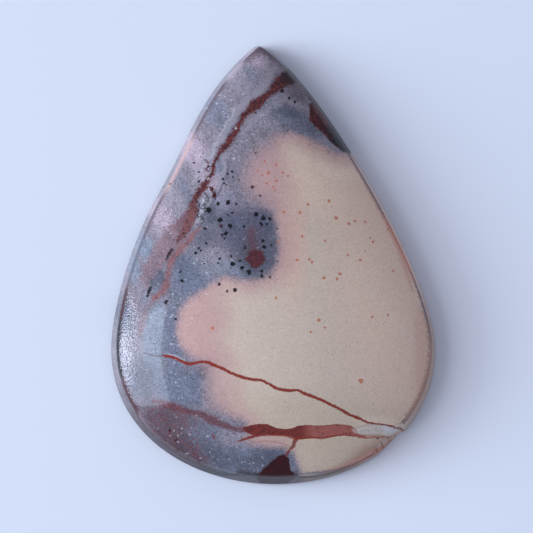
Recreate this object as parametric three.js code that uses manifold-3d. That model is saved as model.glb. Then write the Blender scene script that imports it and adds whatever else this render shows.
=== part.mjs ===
// A pear-shaped cabochon of porcelain jasper. It is one stone: flat on the back, with a
// girdle that leans in, and domed on the front. At the lower right a sliver of the edge
// has broken away along a crack and left a small step.
//
// Units are millimetres and +Z is up. +Y points to the tip. The origin is on the flat
// back, under the middle of the stone.

import * as THREE from 'three';
import { mergeVertices } from 'three/addons/utils/BufferGeometryUtils.js';
import Module from 'manifold-3d';

// Plan of the stone at its widest, just above the back.
const TIP = new THREE.Vector2(-1.6, 22.45); // where the two flanks would meet
const RIGHT_BELLY = new THREE.Vector2(16.25, -8.6);
const HEEL = new THREE.Vector2(0.1, -22.3);
const LEFT_BELLY = new THREE.Vector2(-16.2, -8.7);
const LEFT_FLANK = new THREE.Vector2(-11.5, 7.0);

// How far each curve runs on before it turns, on either side of those points.
const TIP_TO_RIGHT = 6.7;
const TIP_TO_LEFT = 8.1;
const RIGHT_BELLY_UP = 7.4;
const RIGHT_BELLY_DOWN = 8.5;
const HEEL_RIGHT = 8.3;
const HEEL_LEFT = 8.4;
const LEFT_BELLY_DOWN = 8.7;
const LEFT_BELLY_UP = 3.3;
const LEFT_FLANK_DOWN = 6.4;
const LEFT_FLANK_UP = 6.5;

// Directions of the flanks, in degrees from the horizontal.
const TIP_RIGHT_SLOPE = 29.5;
const TIP_LEFT_SLOPE = 42;
const LEFT_FLANK_SLOPE = 61;
const TIP_ROUNDING = 0.7; // length of each flank that the worn tip takes up

// Section of the stone.
const THICKNESS = 6.5;
const BACK_BEVEL = 0.45; // the chamfer round the back, as high as it is wide
const GIRDLE_TOP = 2.4;
const GIRDLE_LEAN = 0.58; // how far the girdle leans in by its top

// Dome. Each level line is the one below it, drawn in towards the crown and rounded off
// a little more, so the ridge from the tip dies out on the way up.
const CROWN = new THREE.Vector2(0, -5);
const DOME_FLATNESS = 2.4;
const DOME_SHOULDER = 0.7;
const ROUNDING_PER_LEVEL = 2;

// The broken step at the lower right.
const STEP_CORNER = new THREE.Vector2(12.5, -17.0); // where the flat meets the crack
const STEP_END = new THREE.Vector2(10.0, -19.6); // where it runs out into the edge
const CRACK_OUTLET = new THREE.Vector2(13.3, -16.8); // where the crack leaves the stone
const STEP_REACH = 4; // how far the cut passes the edge

// Facets.
const RIGHT_FLANK_FACETS = 30;
const BELLY_FACETS = 24;
const LEFT_LOWER_FLANK_FACETS = 14;
const LEFT_UPPER_FLANK_FACETS = 12;
const TIP_FACETS = 3;
const DOME_RINGS = 13;

// A point at a distance from another, at an angle in degrees.
function pointAt(from, degrees, distance) {
  const angle = THREE.MathUtils.degToRad(degrees);
  return new THREE.Vector2(
    from.x + distance * Math.cos(angle),
    from.y + distance * Math.sin(angle),
  );
}

// The outline as five curves and the rounding of the tip, clockwise from the tip.
function outlinePoints() {
  const tipRight = pointAt(TIP, -TIP_RIGHT_SLOPE, TIP_ROUNDING);
  const tipLeft = pointAt(TIP, 180 + TIP_LEFT_SLOPE, TIP_ROUNDING);
  const stretches = [
    [
      new THREE.CubicBezierCurve(
        tipRight,
        pointAt(TIP, -TIP_RIGHT_SLOPE, TIP_TO_RIGHT),
        pointAt(RIGHT_BELLY, 90, RIGHT_BELLY_UP),
        RIGHT_BELLY,
      ),
      RIGHT_FLANK_FACETS,
    ],
    [
      new THREE.CubicBezierCurve(
        RIGHT_BELLY,
        pointAt(RIGHT_BELLY, -90, RIGHT_BELLY_DOWN),
        pointAt(HEEL, 0, HEEL_RIGHT),
        HEEL,
      ),
      BELLY_FACETS,
    ],
    [
      new THREE.CubicBezierCurve(
        HEEL,
        pointAt(HEEL, 180, HEEL_LEFT),
        pointAt(LEFT_BELLY, -90, LEFT_BELLY_DOWN),
        LEFT_BELLY,
      ),
      BELLY_FACETS,
    ],
    [
      new THREE.CubicBezierCurve(
        LEFT_BELLY,
        pointAt(LEFT_BELLY, 90, LEFT_BELLY_UP),
        pointAt(LEFT_FLANK, 180 + LEFT_FLANK_SLOPE, LEFT_FLANK_DOWN),
        LEFT_FLANK,
      ),
      LEFT_LOWER_FLANK_FACETS,
    ],
    [
      new THREE.CubicBezierCurve(
        LEFT_FLANK,
        pointAt(LEFT_FLANK, LEFT_FLANK_SLOPE, LEFT_FLANK_UP),
        pointAt(TIP, 180 + TIP_LEFT_SLOPE, TIP_TO_LEFT),
        tipLeft,
      ),
      LEFT_UPPER_FLANK_FACETS,
    ],
    [new THREE.QuadraticBezierCurve(tipLeft, TIP, tipRight), TIP_FACETS],
  ];
  return stretches.flatMap(([curve, facets]) => curve.getSpacedPoints(facets).slice(0, -1));
}

// The outline moved in by a distance, square to itself.
function insetOutline(outline, distance) {
  const count = outline.length;
  return outline.map((point, i) => {
    const before = outline[(i + count - 1) % count];
    const after = outline[(i + 1) % count];
    const along = after.clone().sub(before).normalize();
    return new THREE.Vector2(point.x + along.y * distance, point.y - along.x * distance);
  });
}

// A closed line whose corners are rounded off by averaging each point with its neighbours.
function roundedOff(line, passes) {
  const count = line.length;
  let rounded = line;
  for (let pass = 0; pass < passes; pass += 1) {
    const last = rounded;
    rounded = last.map((point, i) => {
      const between = last[(i + count - 1) % count].clone().lerp(last[(i + 1) % count], 0.5);
      return between.lerp(point, 0.5);
    });
  }
  return rounded;
}

// Height of the dome: spread is 1 at the girdle and 0 at the crown.
function domeHeight(spread) {
  const rise = THICKNESS - GIRDLE_TOP;
  return GIRDLE_TOP + rise * (1 - spread ** DOME_FLATNESS) ** DOME_SHOULDER;
}

// The rings of the stone from the back to the last one below the crown.
function stoneRings() {
  const outline = outlinePoints();
  const girdleEdge = insetOutline(outline, GIRDLE_LEAN);
  const rings = [
    { level: insetOutline(outline, BACK_BEVEL), height: 0 },
    { level: outline, height: BACK_BEVEL },
  ];
  let line = girdleEdge;
  for (let i = 0; i < DOME_RINGS; i += 1) {
    const spread = Math.cos((i / DOME_RINGS) * (Math.PI / 2));
    line = roundedOff(line, i * ROUNDING_PER_LEVEL);
    const level = line.map((point) => CROWN.clone().lerp(point, spread));
    rings.push({ level, height: domeHeight(spread) });
  }
  return rings;
}

// Closed skin over the rings, with the back's middle and the crown as its two ends.
function wholeStone() {
  const rings = stoneRings();
  const count = rings[0].level.length;
  const positions = [CROWN.x, CROWN.y, 0, CROWN.x, CROWN.y, THICKNESS];
  for (const { level, height } of rings) {
    for (const point of level) positions.push(point.x, point.y, height);
  }
  const index = [];
  const vertex = (ring, i) => 2 + ring * count + (i % count);
  const last = rings.length - 1;
  for (let i = 0; i < count; i += 1) {
    index.push(0, vertex(0, i), vertex(0, i + 1));
    index.push(1, vertex(last, i + 1), vertex(last, i));
    for (let ring = 0; ring < last; ring += 1) {
      const low = vertex(ring, i);
      const lowNext = vertex(ring, i + 1);
      const high = vertex(ring + 1, i);
      const highNext = vertex(ring + 1, i + 1);
      index.push(low, high, lowNext, lowNext, high, highNext);
    }
  }
  const geometry = new THREE.BufferGeometry();
  geometry.setAttribute('position', new THREE.Float32BufferAttribute(positions, 3));
  geometry.setIndex(index);
  return geometry;
}

// The block that the broken edge leaves room for. Its inner face leans in as the girdle
// does, and its upper end follows the crack out of the stone.
function brokenEdge() {
  const flat = STEP_CORNER.clone().sub(STEP_END);
  const direction = flat.angle();
  const origin = new THREE.Vector2(0, 0);
  const crack = CRACK_OUTLET.clone().sub(STEP_CORNER).rotateAround(origin, -direction);
  crack.setLength(STEP_REACH);
  const length = flat.length();
  const shape = new THREE.Shape([
    new THREE.Vector2(-STEP_REACH, 0),
    new THREE.Vector2(-STEP_REACH, -STEP_REACH),
    new THREE.Vector2(length + crack.x, -STEP_REACH),
    new THREE.Vector2(length + crack.x, crack.y),
    new THREE.Vector2(length, 0),
  ]);
  const geometry = new THREE.ExtrudeGeometry(shape, {
    depth: 2 * STEP_REACH,
    bevelEnabled: false,
  });
  geometry.translate(0, 0, -STEP_REACH);
  geometry.rotateX(-Math.atan2(GIRDLE_LEAN, GIRDLE_TOP - BACK_BEVEL));
  geometry.rotateZ(direction);
  geometry.translate(STEP_END.x, STEP_END.y, BACK_BEVEL);
  return geometry;
}

const wasm = await Module();
wasm.setup();

function solid(geometry) {
  geometry.deleteAttribute('normal');
  geometry.deleteAttribute('uv');
  const merged = mergeVertices(geometry);
  return new wasm.Manifold(
    new wasm.Mesh({
      numProp: 3,
      vertProperties: new Float32Array(merged.attributes.position.array),
      triVerts: new Uint32Array(merged.index.array),
    }),
  );
}

function geometryOf(manifold) {
  const mesh = manifold.getMesh();
  const geometry = new THREE.BufferGeometry();
  geometry.setAttribute('position', new THREE.Float32BufferAttribute(mesh.vertProperties, 3));
  geometry.setIndex(new THREE.Uint32BufferAttribute(mesh.triVerts, 1));
  geometry.computeVertexNormals();
  return geometry;
}

const polishedJasper = new THREE.MeshStandardMaterial({
  color: 0xa8948f,
  roughness: 0.35,
  metalness: 0,
});

const cabochon = new THREE.Mesh(
  geometryOf(solid(wholeStone()).subtract(solid(brokenEdge()))),
  polishedJasper,
);
cabochon.name = 'cabochon';

const stone = new THREE.Group();
stone.add(cabochon);

export default stone;
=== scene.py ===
"""A pear-shaped cabochon of porcelain jasper on a pale floor, in metres.

The stone's body is drawn by a Geometry Nodes tree from its outline and its section. The
markings are veins, zones, patches and specks. Each is placed by the point of a 533 x 533
pixel view where it shows, and is laid on the stone along the camera's line of sight.
"""

import math

import bmesh
import bpy
import numpy as np
from mathutils import Matrix, Vector, noise
from mathutils.bvhtree import BVHTree


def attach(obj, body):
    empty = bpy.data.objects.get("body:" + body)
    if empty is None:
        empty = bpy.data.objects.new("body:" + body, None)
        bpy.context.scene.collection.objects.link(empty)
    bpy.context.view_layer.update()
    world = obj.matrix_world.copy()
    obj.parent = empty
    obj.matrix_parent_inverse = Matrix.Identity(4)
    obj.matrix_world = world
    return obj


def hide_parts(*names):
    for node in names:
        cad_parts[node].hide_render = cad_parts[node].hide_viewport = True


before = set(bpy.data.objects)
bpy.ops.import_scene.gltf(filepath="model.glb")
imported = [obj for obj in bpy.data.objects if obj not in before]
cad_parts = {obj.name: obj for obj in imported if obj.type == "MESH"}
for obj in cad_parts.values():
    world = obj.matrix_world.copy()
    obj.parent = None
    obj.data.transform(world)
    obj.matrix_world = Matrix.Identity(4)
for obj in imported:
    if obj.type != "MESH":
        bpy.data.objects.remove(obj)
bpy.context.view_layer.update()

bl_info = {
    "name": "Porcelain Jasper Cabochon",
    "version": (1, 0, 0),
    "blender": (4, 5, 0),
    "location": "View3D > Sidebar > Jasper",
    "description": "Makes a pear-shaped jasper cabochon with its veins, and the stage it lies on",
    "category": "Add Mesh",
}

MM = 0.001
IMAGE_SIDE = 533  # pixels
IMAGE_CENTRE = IMAGE_SIDE / 2
MM_PER_PIXEL = 0.1  # at the camera's target

# Outline of the stone at its widest, in millimetres: where the two flanks would meet, and
# the points that the five curves run between.
TIP = Vector((-1.6, 22.45))
RIGHT_BELLY = Vector((16.25, -8.6))
HEEL = Vector((0.1, -22.3))
LEFT_BELLY = Vector((-16.2, -8.7))
LEFT_FLANK = Vector((-11.5, 7.0))

# How far each curve runs on before it turns, in millimetres.
TIP_TO_RIGHT = 6.7
TIP_TO_LEFT = 8.1
RIGHT_BELLY_UP = 7.4
RIGHT_BELLY_DOWN = 8.5
HEEL_RIGHT = 8.3
HEEL_LEFT = 8.4
LEFT_BELLY_DOWN = 8.7
LEFT_BELLY_UP = 3.3
LEFT_FLANK_DOWN = 6.4
LEFT_FLANK_UP = 6.5
TIP_ROUNDING = 0.7

# Directions of the flanks, in degrees from the horizontal.
TIP_RIGHT_SLOPE = 29.5
TIP_LEFT_SLOPE = 42
LEFT_FLANK_SLOPE = 61

OUTLINE_RESOLUTION = 64

# The broken step at the lower right, in millimetres.
STEP_CORNER = Vector((12.5, -17.0))
STEP_END = Vector((10.0, -19.6))
CRACK_OUTLET = Vector((13.3, -16.8))
STEP_REACH = 4
BREAK_GRAIN = 0.03  # how rough the broken face is
BREAK_GRAIN_SIZE = 0.35
BREAK_FINE_GRAIN_SIZE = 0.12
BREAK_CUTS = 40

# Where a point counts as on the fresh face of the break, in millimetres.
FRESH_ABOVE = 0.004
FRESH_BELOW = 4 * BREAK_GRAIN
FRESH_BEFORE = 0.3
FRESH_LENGTH = 1.3  # times the length of the step's flat

# The stone's section, which is stored on it: 0 in the middle of the back, then where the bevel,
# the girdle and the dome start, and 4 at the crown.
BEVEL_START = 1.0
GIRDLE_START = 2.0
DOME_START = 3.0
BACK_HEIGHT = 0.01  # mm: what lies lower is on the flat back

# The markings run on through the stone at a slant, and wander a little on the way down.
SLANT = Vector((0.08, -0.25))  # per millimetre of depth
WANDER = 0.07  # per square millimetre of depth
WANDER_SCALE = 0.16
WANDER_SEED = 1  # without one, Blender draws another wander each time it starts


def srgb(red, green, blue):
    """Linear colour of three sRGB values from 0 to 255."""
    values = []
    for value in (red, green, blue):
        part = value / 255
        values.append(part / 12.92 if part <= 0.04045 else ((part + 0.055) / 1.055) ** 2.4)
    return tuple(values)


# Each colour of the stone, and where it is.
COLOURS = {
    "cream": (srgb(216, 192, 166), "Ground of the light part"),
    # The peach and the palest cream are partly painted light: lighter than their own colour, to
    # brighten the right slope.
    "peach": (srgb(240, 206, 176), "Light warm ground towards the right"),
    "pale_cream": (srgb(244, 216, 184), "Palest cream, under the dark corner and by the quartz"),
    "rosy_cream": (srgb(222, 178, 153), "Rosy cast beside the dark spot and at the right edge"),
    "deep_cream": (srgb(201, 180, 150), "Deeper cream at the foot"),
    "pink": (srgb(199, 156, 144), "Edge of the light part"),
    "mauve": (srgb(154, 129, 132), "Border between the light part and the grey"),
    "lavender": (srgb(130, 119, 123), "Ground of the grey part"),
    "lilac": (srgb(176, 155, 160), "Pinkish cast at the tip and on the left flank"),
    "pale_grey": (srgb(154, 144, 147), "Palest bands of the grey part"),
    "blue_grey": (srgb(130, 137, 145), "Bluish bands of the grey part"),
    "slate": (srgb(115, 118, 129), "Dark bands of the grey part"),
    "dark_slate": (srgb(90, 91, 100), "Darkest bands of the grey part"),
    "spot_blue": (srgb(84, 84, 98), "Surround of the dark spot near the middle"),
    "maroon": (srgb(92, 74, 78), "Dark grains, and the foot of the grey part"),
    "wine": (srgb(104, 56, 58), "Mottling and veins at the foot"),
    "rust": (srgb(70, 28, 28), "Long vein from the tip"),
    "dusky_red": (srgb(136, 110, 112), "Fan at the lower end of the long vein"),
    "salmon": (srgb(140, 94, 90), "Branches and lower end of the long vein"),
    "brick": (srgb(124, 48, 38), "Vein across the foot, at its left, and its branches"),
    "light_brick": (srgb(168, 95, 80), "Vein across the foot, at its right"),
    "red_thread": (srgb(144, 42, 20), "Thin red thread and the lower edge of the vein under it"),
    "crimson": (srgb(60, 4, 6), "Dark red patches and specks"),
    "near_black": (srgb(8, 6, 8), "Black specks and cracks, and the shade on the girdle"),
    "orange": (srgb(196, 100, 62), "Specks in the light part and the lines near its rim"),
    "tan": (srgb(166, 120, 98), "Edge of the milky quartz and of the light part"),
    "milky_quartz": (srgb(214, 198, 177), "Milky patch at the lower right"),
    "white": (srgb(228, 222, 218), "Glints, fine cracks and white specks"),
}

# Veins that are drawn as ribbons: for each, points of the view and the width there, all in
# pixels.
RIBBONS = {
    "pale_band": (
        (278, 62, 5), (268, 80, 9), (254, 96, 9), (240, 108, 9), (228, 126, 9), (220, 140, 9),
        (212, 152, 8), (205, 162, 8), (198, 174, 7), (193, 184, 4),
    ),
    "pale_edge": (
        (235, 108, 1), (226, 124, 1.4), (217, 143, 1.8), (214, 152, 1.6), (207, 160, 1.8),
        (203, 168, 1.6), (198, 174, 1.6), (193, 182, 1),
    ),
    "shore": (
        (309, 109, 2.5), (298, 105, 4), (288, 100, 4), (281, 101, 3), (274, 107, 4), (266, 112, 5),
        (257, 118, 5), (250, 125, 4), (244, 133, 2),
    ),
    "right_band": (
        (221, 150, 3), (225, 160, 5), (225, 169, 5), (222, 178, 5), (219, 188, 5), (211, 198, 6),
        (205, 206, 6), (202, 216, 5),
    ),
    "band_edge": (
        (228, 160, 1), (228, 169, 1.6), (224, 180, 1.6), (220.5, 190, 1.8), (213, 201, 1.8),
        (209, 209, 1.2),
    ),
    "vug": ((204, 198, 4), (202, 205, 9), (200, 213, 8), (197, 219, 8), (194, 225, 4)),
    "vug_hair": (
        (204, 194, 0.8), (208, 199, 1.6), (205, 205, 1.6), (207, 211, 2), (202, 216, 1.6),
        (204, 222, 1.4), (199, 227, 0.8),
    ),
    "vug_hair_two": ((196, 201, 0.8), (200, 206, 1.4), (197, 212, 1.4), (199, 217, 0.8)),
    "rust_vein": (
        (297, 70, 13), (291, 76, 15), (283, 81, 14), (276, 87, 11), (269, 94, 6), (262, 99, 8),
        (255, 105, 11), (248, 112, 6), (243, 117, 5), (238, 127, 5), (232, 136, 6.5), (228, 143, 6),
        (222, 150, 4), (217, 158, 3.4), (213.5, 165, 3.2), (212.5, 172, 3.8), (208.5, 179, 4.4),
        (204, 186, 6), (199, 193, 5), (195.5, 198, 6), (193, 203, 6), (194, 210, 8.6),
        (191, 219, 9), (187, 227, 8), (182, 235, 5), (177, 242, 2),
    ),
    "red_branch": (
        (201, 227, 2), (194, 234, 4.5), (188, 242, 5.5), (180, 249, 5.5), (175, 255, 5.5),
        (171, 262, 6.5), (169, 270, 5.5), (168, 278, 6), (165, 288, 7.5), (160, 294, 7),
        (154, 299, 6),
    ),
    "faded_branch": (
        (158, 296, 4), (154, 299, 6), (148, 308, 6), (144, 318, 6), (141.5, 328, 5), (139, 336, 3),
    ),
    "fan": (
        (193, 206, 4), (190, 212, 9), (187, 220, 13), (180, 230, 20), (172, 240, 22), (165, 248, 21),
        (158, 258, 17), (151, 269, 15), (145, 279, 14), (140, 289, 12), (137, 299, 10), (135, 309, 6),
    ),
    "rim_foot": (
        (158, 441, 1.5), (165, 447, 3), (175, 454, 4), (185, 460, 4), (195, 465, 4), (202, 468, 1),
    ),
    "rim_orange": (
        (393, 440, 1), (385, 446, 5), (373, 453, 8), (360, 460, 8), (346, 466, 7), (332, 470, 5),
        (318, 473, 2),
    ),
    "shoulder_line": (
        (352, 160, 1), (361, 176, 2.4), (371, 194, 4), (381, 212, 5), (391, 232, 5),
        (400, 253, 4), (407, 273, 3), (413, 292, 1.4),
    ),
    "foot_line": ((300, 474, 1), (312, 473, 2.2), (324, 471.5, 2.2), (332, 470, 1)),
    "hairline": (
        (162, 355.5, 1.4), (168, 356.4, 2.6), (174, 358, 3), (180, 360.4, 2.6), (186, 362.8, 2.8),
        (191, 364, 3), (197, 362.6, 2.4), (204, 361.8, 2.6), (212, 364.2, 3), (222, 368.4, 2.8),
        (230, 372.4, 2.8), (240, 376.6, 3), (248, 378.8, 2.8), (256, 379.6, 2.8), (262, 380.6, 2.6),
        (270, 384.6, 2.6), (279, 389.2, 3), (290, 390.4, 3), (297, 390.2, 2.8), (306, 394, 2.8),
        (320, 399.2, 3), (330, 404.4, 3), (340, 409.2, 3), (350, 415, 2.8), (357, 417.4, 3.2),
        (362, 419.6, 2.4), (368, 422.4, 2), (380, 424.2, 1.4), (388, 425.4, 1.4), (397, 427.8, 1.8),
        (404, 430.4, 1.4),
    ),
    "dark_hair": ((143, 353.4, 1), (149, 353.8, 1.3), (156, 356, 1.5), (163, 356, 1.2)),
    "white_hair": ((168, 354.4, 1), (174, 355.6, 2), (180, 358, 1.8), (186, 360.6, 1)),
    "lead_in": (
        (153, 401, 3), (161, 402.5, 5), (170, 405.5, 7), (180, 409, 6), (190, 412, 5), (200, 414.5, 6),
        (209, 418, 7), (216, 422, 8), (224, 425.5, 6), (232, 427.5, 5), (240, 429.5, 5), (247, 430, 3),
    ),
    "brick_vein": (
        (243, 427.6, 2), (248, 429.4, 7), (254, 430, 10), (261, 429.4, 11), (267, 429.6, 10),
        (273, 431.2, 8), (280, 432, 6.5), (288, 432.4, 7), (294, 432.6, 10), (301, 432.2, 13),
        (310, 431.6, 12.4), (320, 431.8, 11.8), (328, 431.2, 12), (336, 430, 11.4), (345, 430, 10.4),
        (350, 431.2, 10), (355, 433.6, 6), (361, 436, 3), (367, 438, 1),
    ),
    "brick_foot": (
        (264, 435.4, 1.6), (275, 435.2, 1.8), (286, 436, 1.8), (295, 438.8, 2.2), (303, 438.4, 1.8),
        (312, 437.6, 1.6), (322, 438.4, 1.8), (330, 436.6, 1.6), (341, 435, 1.4), (352, 435.6, 1.2),
    ),
    "brick_tine": (
        (264, 434.8, 2), (256, 435.6, 3), (248, 438, 2.6), (242, 440, 2.2), (238, 441.4, 1),
    ),
    "brick_branch": (
        (297, 438, 4.5), (294, 442.5, 3.4), (293.6, 446, 3.6), (290.5, 449, 2.6), (287, 453.5, 2.4),
        (285, 456, 1.4),
    ),
    "foot_threads": (
        (244, 444, 0.6), (256, 442, 1), (268, 441, 1.2), (280, 443, 1), (290, 446, 0.6),
    ),
    "quartz_rim": (
        (353, 428, 1), (356, 430.6, 1.8), (356.5, 433.6, 1.8), (364, 435.6, 1.4), (376, 436.2, 1),
    ),
    "quartz_foot": (
        (358, 437.6, 1.4), (368, 437.8, 1.6), (378, 437, 1.8), (386, 437.6, 2.4), (392, 437, 1.4),
    ),
    "healed_crack": (
        (345, 261, 0.8), (356, 274, 1.4), (368, 288, 1.4), (388, 315, 1.4), (402, 329, 1.4),
        (412, 338, 1.4), (420, 345, 1.2), (431, 352, 0.8),
    ),
    "crack_high": ((173, 248, 1.6), (169.5, 253.5, 3), (166, 259.5, 1.8)),
    "crack_low": ((151.5, 286, 1.6), (149.4, 291, 3), (147.2, 297, 1.8)),
    "vein_dashes": ((206, 160, 2), (209, 164, 2.4), (207, 168, 2), (210, 172, 1.6)),
    "side_dashes": ((211, 187, 2), (213, 191, 3.4), (215, 196, 4), (212, 197, 2)),
    "spot_streak": ((253, 226, 2), (251, 232, 7), (252, 240, 8), (254, 248, 6)),
    "red_dash": ((212, 434.6, 2), (215, 438.4, 2.4)),
}

# How soft, jagged and swaying the edges of each ribbon are, in about millimetres, and how
# strongly it covers what it crosses.
RIBBON_EDGES = {
    "pale_band": (0.12, 0.8, 0.4, 0.65),
    "shore": (0.12, 0.8, 0.4, 0.8),
    "right_band": (0.12, 0.8, 0.4, 0.85),
    "pale_edge": (0.06, 0.6, 0.4, 0.2),
    "band_edge": (0.06, 0.3, 0.15, 0.75),
    "fan": (0.12, 0.9, 0.35, 0.85),
    "vug": (0.06, 1.1, 0.4, 0.8),
    "rust_vein": (0.05, 0.5, 0.16, 0.96),
    "red_branch": (0.08, 0.7, 0.3, 0.85),
    "faded_branch": (0.08, 0.7, 0.3, 0.4),
    "crack_high": (0.05, 0.2, 0.1, 0.9),
    "crack_low": (0.05, 0.2, 0.1, 0.9),
    "vein_dashes": (0.05, 0.7, 0.3, 0.9),
    "side_dashes": (0.05, 0.7, 0.3, 0.9),
    "vug_hair": (0.04, 0.4, 0.4, 0.75),
    "vug_hair_two": (0.04, 0.4, 0.4, 0.75),
    "spot_streak": (0.25, 0.7, 0.2, 0.45),
    "rim_foot": (0.2, 0.15, 0.1, 0.55),
    "rim_orange": (0.25, 0.15, 0.1, 0.6),
    "shoulder_line": (0.3, 0.15, 0.1, 0.5),
    "foot_line": (0.1, 0.15, 0.1, 0.8),
    "lead_in": (0.08, 0.5, 0.25, 0.8),
    "foot_threads": (0.05, 0.06, 0.05, 0.35),
    "brick_tine": (0.05, 0.06, 0.05, 0.95),
    "red_dash": (0.05, 0.06, 0.05, 0.8),
    "brick_branch": (0.05, 0.1, 0.08, 0.9),
    "brick_vein": (0.04, 0.08, 0.06, 1.0),
    "brick_foot": (0.05, 0.05, 0.04, 0.8),
    "quartz_rim": (0.05, 0.06, 0.04, 0.6),
    "quartz_foot": (0.05, 0.06, 0.04, 0.75),
    "healed_crack": (0.06, 0.05, 0.05, 0.3),
    "white_hair": (0.05, 0.08, 0.05, 0.3),
    "dark_hair": (0.05, 0.05, 0.05, 0.85),
    "hairline": (0.05, 0.12, 0.1, 0.97),
}

# Areas with a closed edge, as points of the view in pixels.
ZONES = {
    "cream_zone": (
        (349, 153), (338, 153), (330, 150), (318, 143), (304, 136), (290, 132), (276, 135),
        (260, 148), (249, 162), (245, 182), (252, 196), (264, 204), (272, 211), (276, 225),
        (279, 245), (278, 262), (270, 275), (254, 281), (240, 280), (226, 276), (212, 282),
        (200, 291), (188, 299), (179, 311), (176, 330), (180, 346), (192, 358), (204, 367),
        (207, 378), (206, 392), (212, 406), (227, 415), (243, 421), (249, 430), (244, 438),
        (254, 446), (270, 447), (284, 449), (293, 454), (297, 464), (301, 474), (304, 500),
        (420, 500), (480, 400), (480, 250), (400, 120), (360, 140),
    ),
    "dark_corner": (
        (309, 110), (310, 103), (316, 98), (330, 108), (342, 124), (352, 140), (356, 154),
        (343, 152), (335, 146), (327, 138), (320, 131), (314, 125), (309, 119),
    ),
    "spot_core": (
        (247, 253.5), (251, 249.5), (257, 248.5), (262.5, 251), (265, 257), (264, 263.5),
        (259, 267.5), (252, 267), (248, 263.5), (246, 258),
    ),
    "quartz_patch": (
        (351, 429), (358, 426.8), (364, 425), (370, 423.6), (380, 423.4), (390, 425.4), (399, 428),
        (403, 430.6), (397, 435.4), (390, 437), (382, 435.8), (374, 435), (364, 435.4), (355, 434),
    ),
    "crimson_patch": (
        (280, 454), (286, 455), (289, 460), (290, 468), (296, 477), (288, 486), (262, 486),
        (256, 477), (264, 468), (272, 461),
    ),
}

# How far outside its edge each zone starts and is full, and how jagged the edge is, in about
# millimetres.
ZONE_EDGES = {
    "cream_zone": (0.45, -0.45, 0.35),
    "dark_corner": (0.1, -0.12, 0.2),
    "spot_core": (0.14, -0.14, 0.45),
    "quartz_patch": (0.05, -0.05, 0.06),
    "crimson_patch": (0.08, -0.1, 0.18),
}

# Soft patches of colour in the grey part, painted in this order: middle and half-lengths in
# pixels, turn in degrees, softness of the edge from 0 to 1, strength and colour. The other
# patches below are given in the same way, and some of them have no colour of their own.
GREY_PATCHES = (
    (258, 58, 12, 14, -20, 0.6, 0.8, "lilac"),
    (240, 78, 10, 20, -30, 0.7, 0.5, "pale_grey"),
    (193, 150, 12, 78, -30, 0.5, 0.85, "lilac"),
    (158, 212, 11, 40, -26, 0.5, 0.85, "lilac"),
    (252, 74, 8, 12, -30, 0.7, 0.5, "slate"),
    (216, 112, 11, 32, -32, 0.6, 0.6, "slate"),
    (188, 197, 6, 22, -24, 0.6, 0.6, "slate"),
    (176, 200, 9, 18, -26, 0.6, 0.7, "pale_grey"),
    (148, 250, 7, 26, -26, 0.6, 0.85, "blue_grey"),
    (136, 272, 6, 34, -16, 0.5, 0.7, "blue_grey"),
    (157, 277, 9, 15, -26, 0.5, 0.9, "dark_slate"),
    (176, 262, 8, 12, 0, 0.5, 0.8, "dark_slate"),
    (264, 122, 20, 9, 30, 0.6, 0.4, "pale_grey"),
    (300, 92, 10, 14, 10, 0.5, 0.6, "maroon"),
    (300, 124, 36, 11, 34, 0.5, 0.7, "slate"),
    (285, 111, 16, 5, 8, 0.5, 0.8, "dark_slate"),
    (318, 132, 20, 8, 40, 0.5, 0.35, "dark_slate"),
    (330, 146, 14, 6, 38, 0.6, 0.8, "pale_grey"),
    (224, 168, 9, 16, -20, 0.6, 0.8, "slate"),
    (238, 176, 14, 30, -12, 0.7, 0.7, "lavender"),
    (222, 200, 16, 10, 0, 0.6, 0.6, "slate"),
    (208, 214, 9, 12, 0, 0.5, 0.9, "dark_slate"),
    (190, 277, 20, 24, 20, 0.5, 0.95, "slate"),
    (186, 268, 12, 14, 30, 0.6, 0.35, "dark_slate"),
    (214, 256, 17, 18, 0, 0.6, 0.5, "pale_grey"),
    (236, 268, 22, 9, 0, 0.6, 0.7, "blue_grey"),
    (244, 232, 26, 24, 0, 0.55, 0.85, "spot_blue"),
    (266, 220, 12, 11, 10, 0.4, 0.8, "spot_blue"),
    (255, 258, 19, 19, 0, 0.45, 0.95, "dark_slate"),
    (254, 246, 11, 18, 0, 0.6, 0.6, "maroon"),
    (268, 245, 8, 22, 0, 0.5, 0.6, "dark_slate"),
    (228, 220, 10, 12, 0, 0.6, 0.6, "spot_blue"),
    (124, 316, 8, 18, -8, 0.5, 0.8, "dark_slate"),
    (155, 335, 12, 44, 0, 0.4, 0.7, "blue_grey"),
    (173, 340, 8, 44, 0, 0.4, 0.85, "slate"),
    (203, 238, 13, 11, 0, 0.6, 0.7, "dark_slate"),
    (141, 380, 16, 22, 0, 0.6, 0.7, "dark_slate"),
    (183, 388, 26, 20, 12, 0.4, 0.95, "slate"),
    (204, 372, 8, 7, 0, 0.5, 0.8, "dark_slate"),
    (175, 428, 40, 20, 26, 0.5, 0.9, "maroon"),
    (205, 436, 18, 14, 22, 0.6, 0.8, "slate"),
    (250, 462, 66, 15, 0, 0.35, 0.95, "slate"),
    (268, 458, 20, 9, -8, 0.5, 0.8, "dark_slate"),
    (230, 464, 40, 10, 4, 0.6, 0.7, "dark_slate"),
    (208, 451, 24, 10, 24, 0.6, 0.8, "dark_slate"),
    (185, 454, 34, 10, 38, 0.5, 0.95, "maroon"),
    (236, 438, 14, 7, 12, 0.6, 0.7, "pale_grey"),
    (186, 461, 50, 7, 36, 0.6, 0.3, "near_black"),
)
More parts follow.
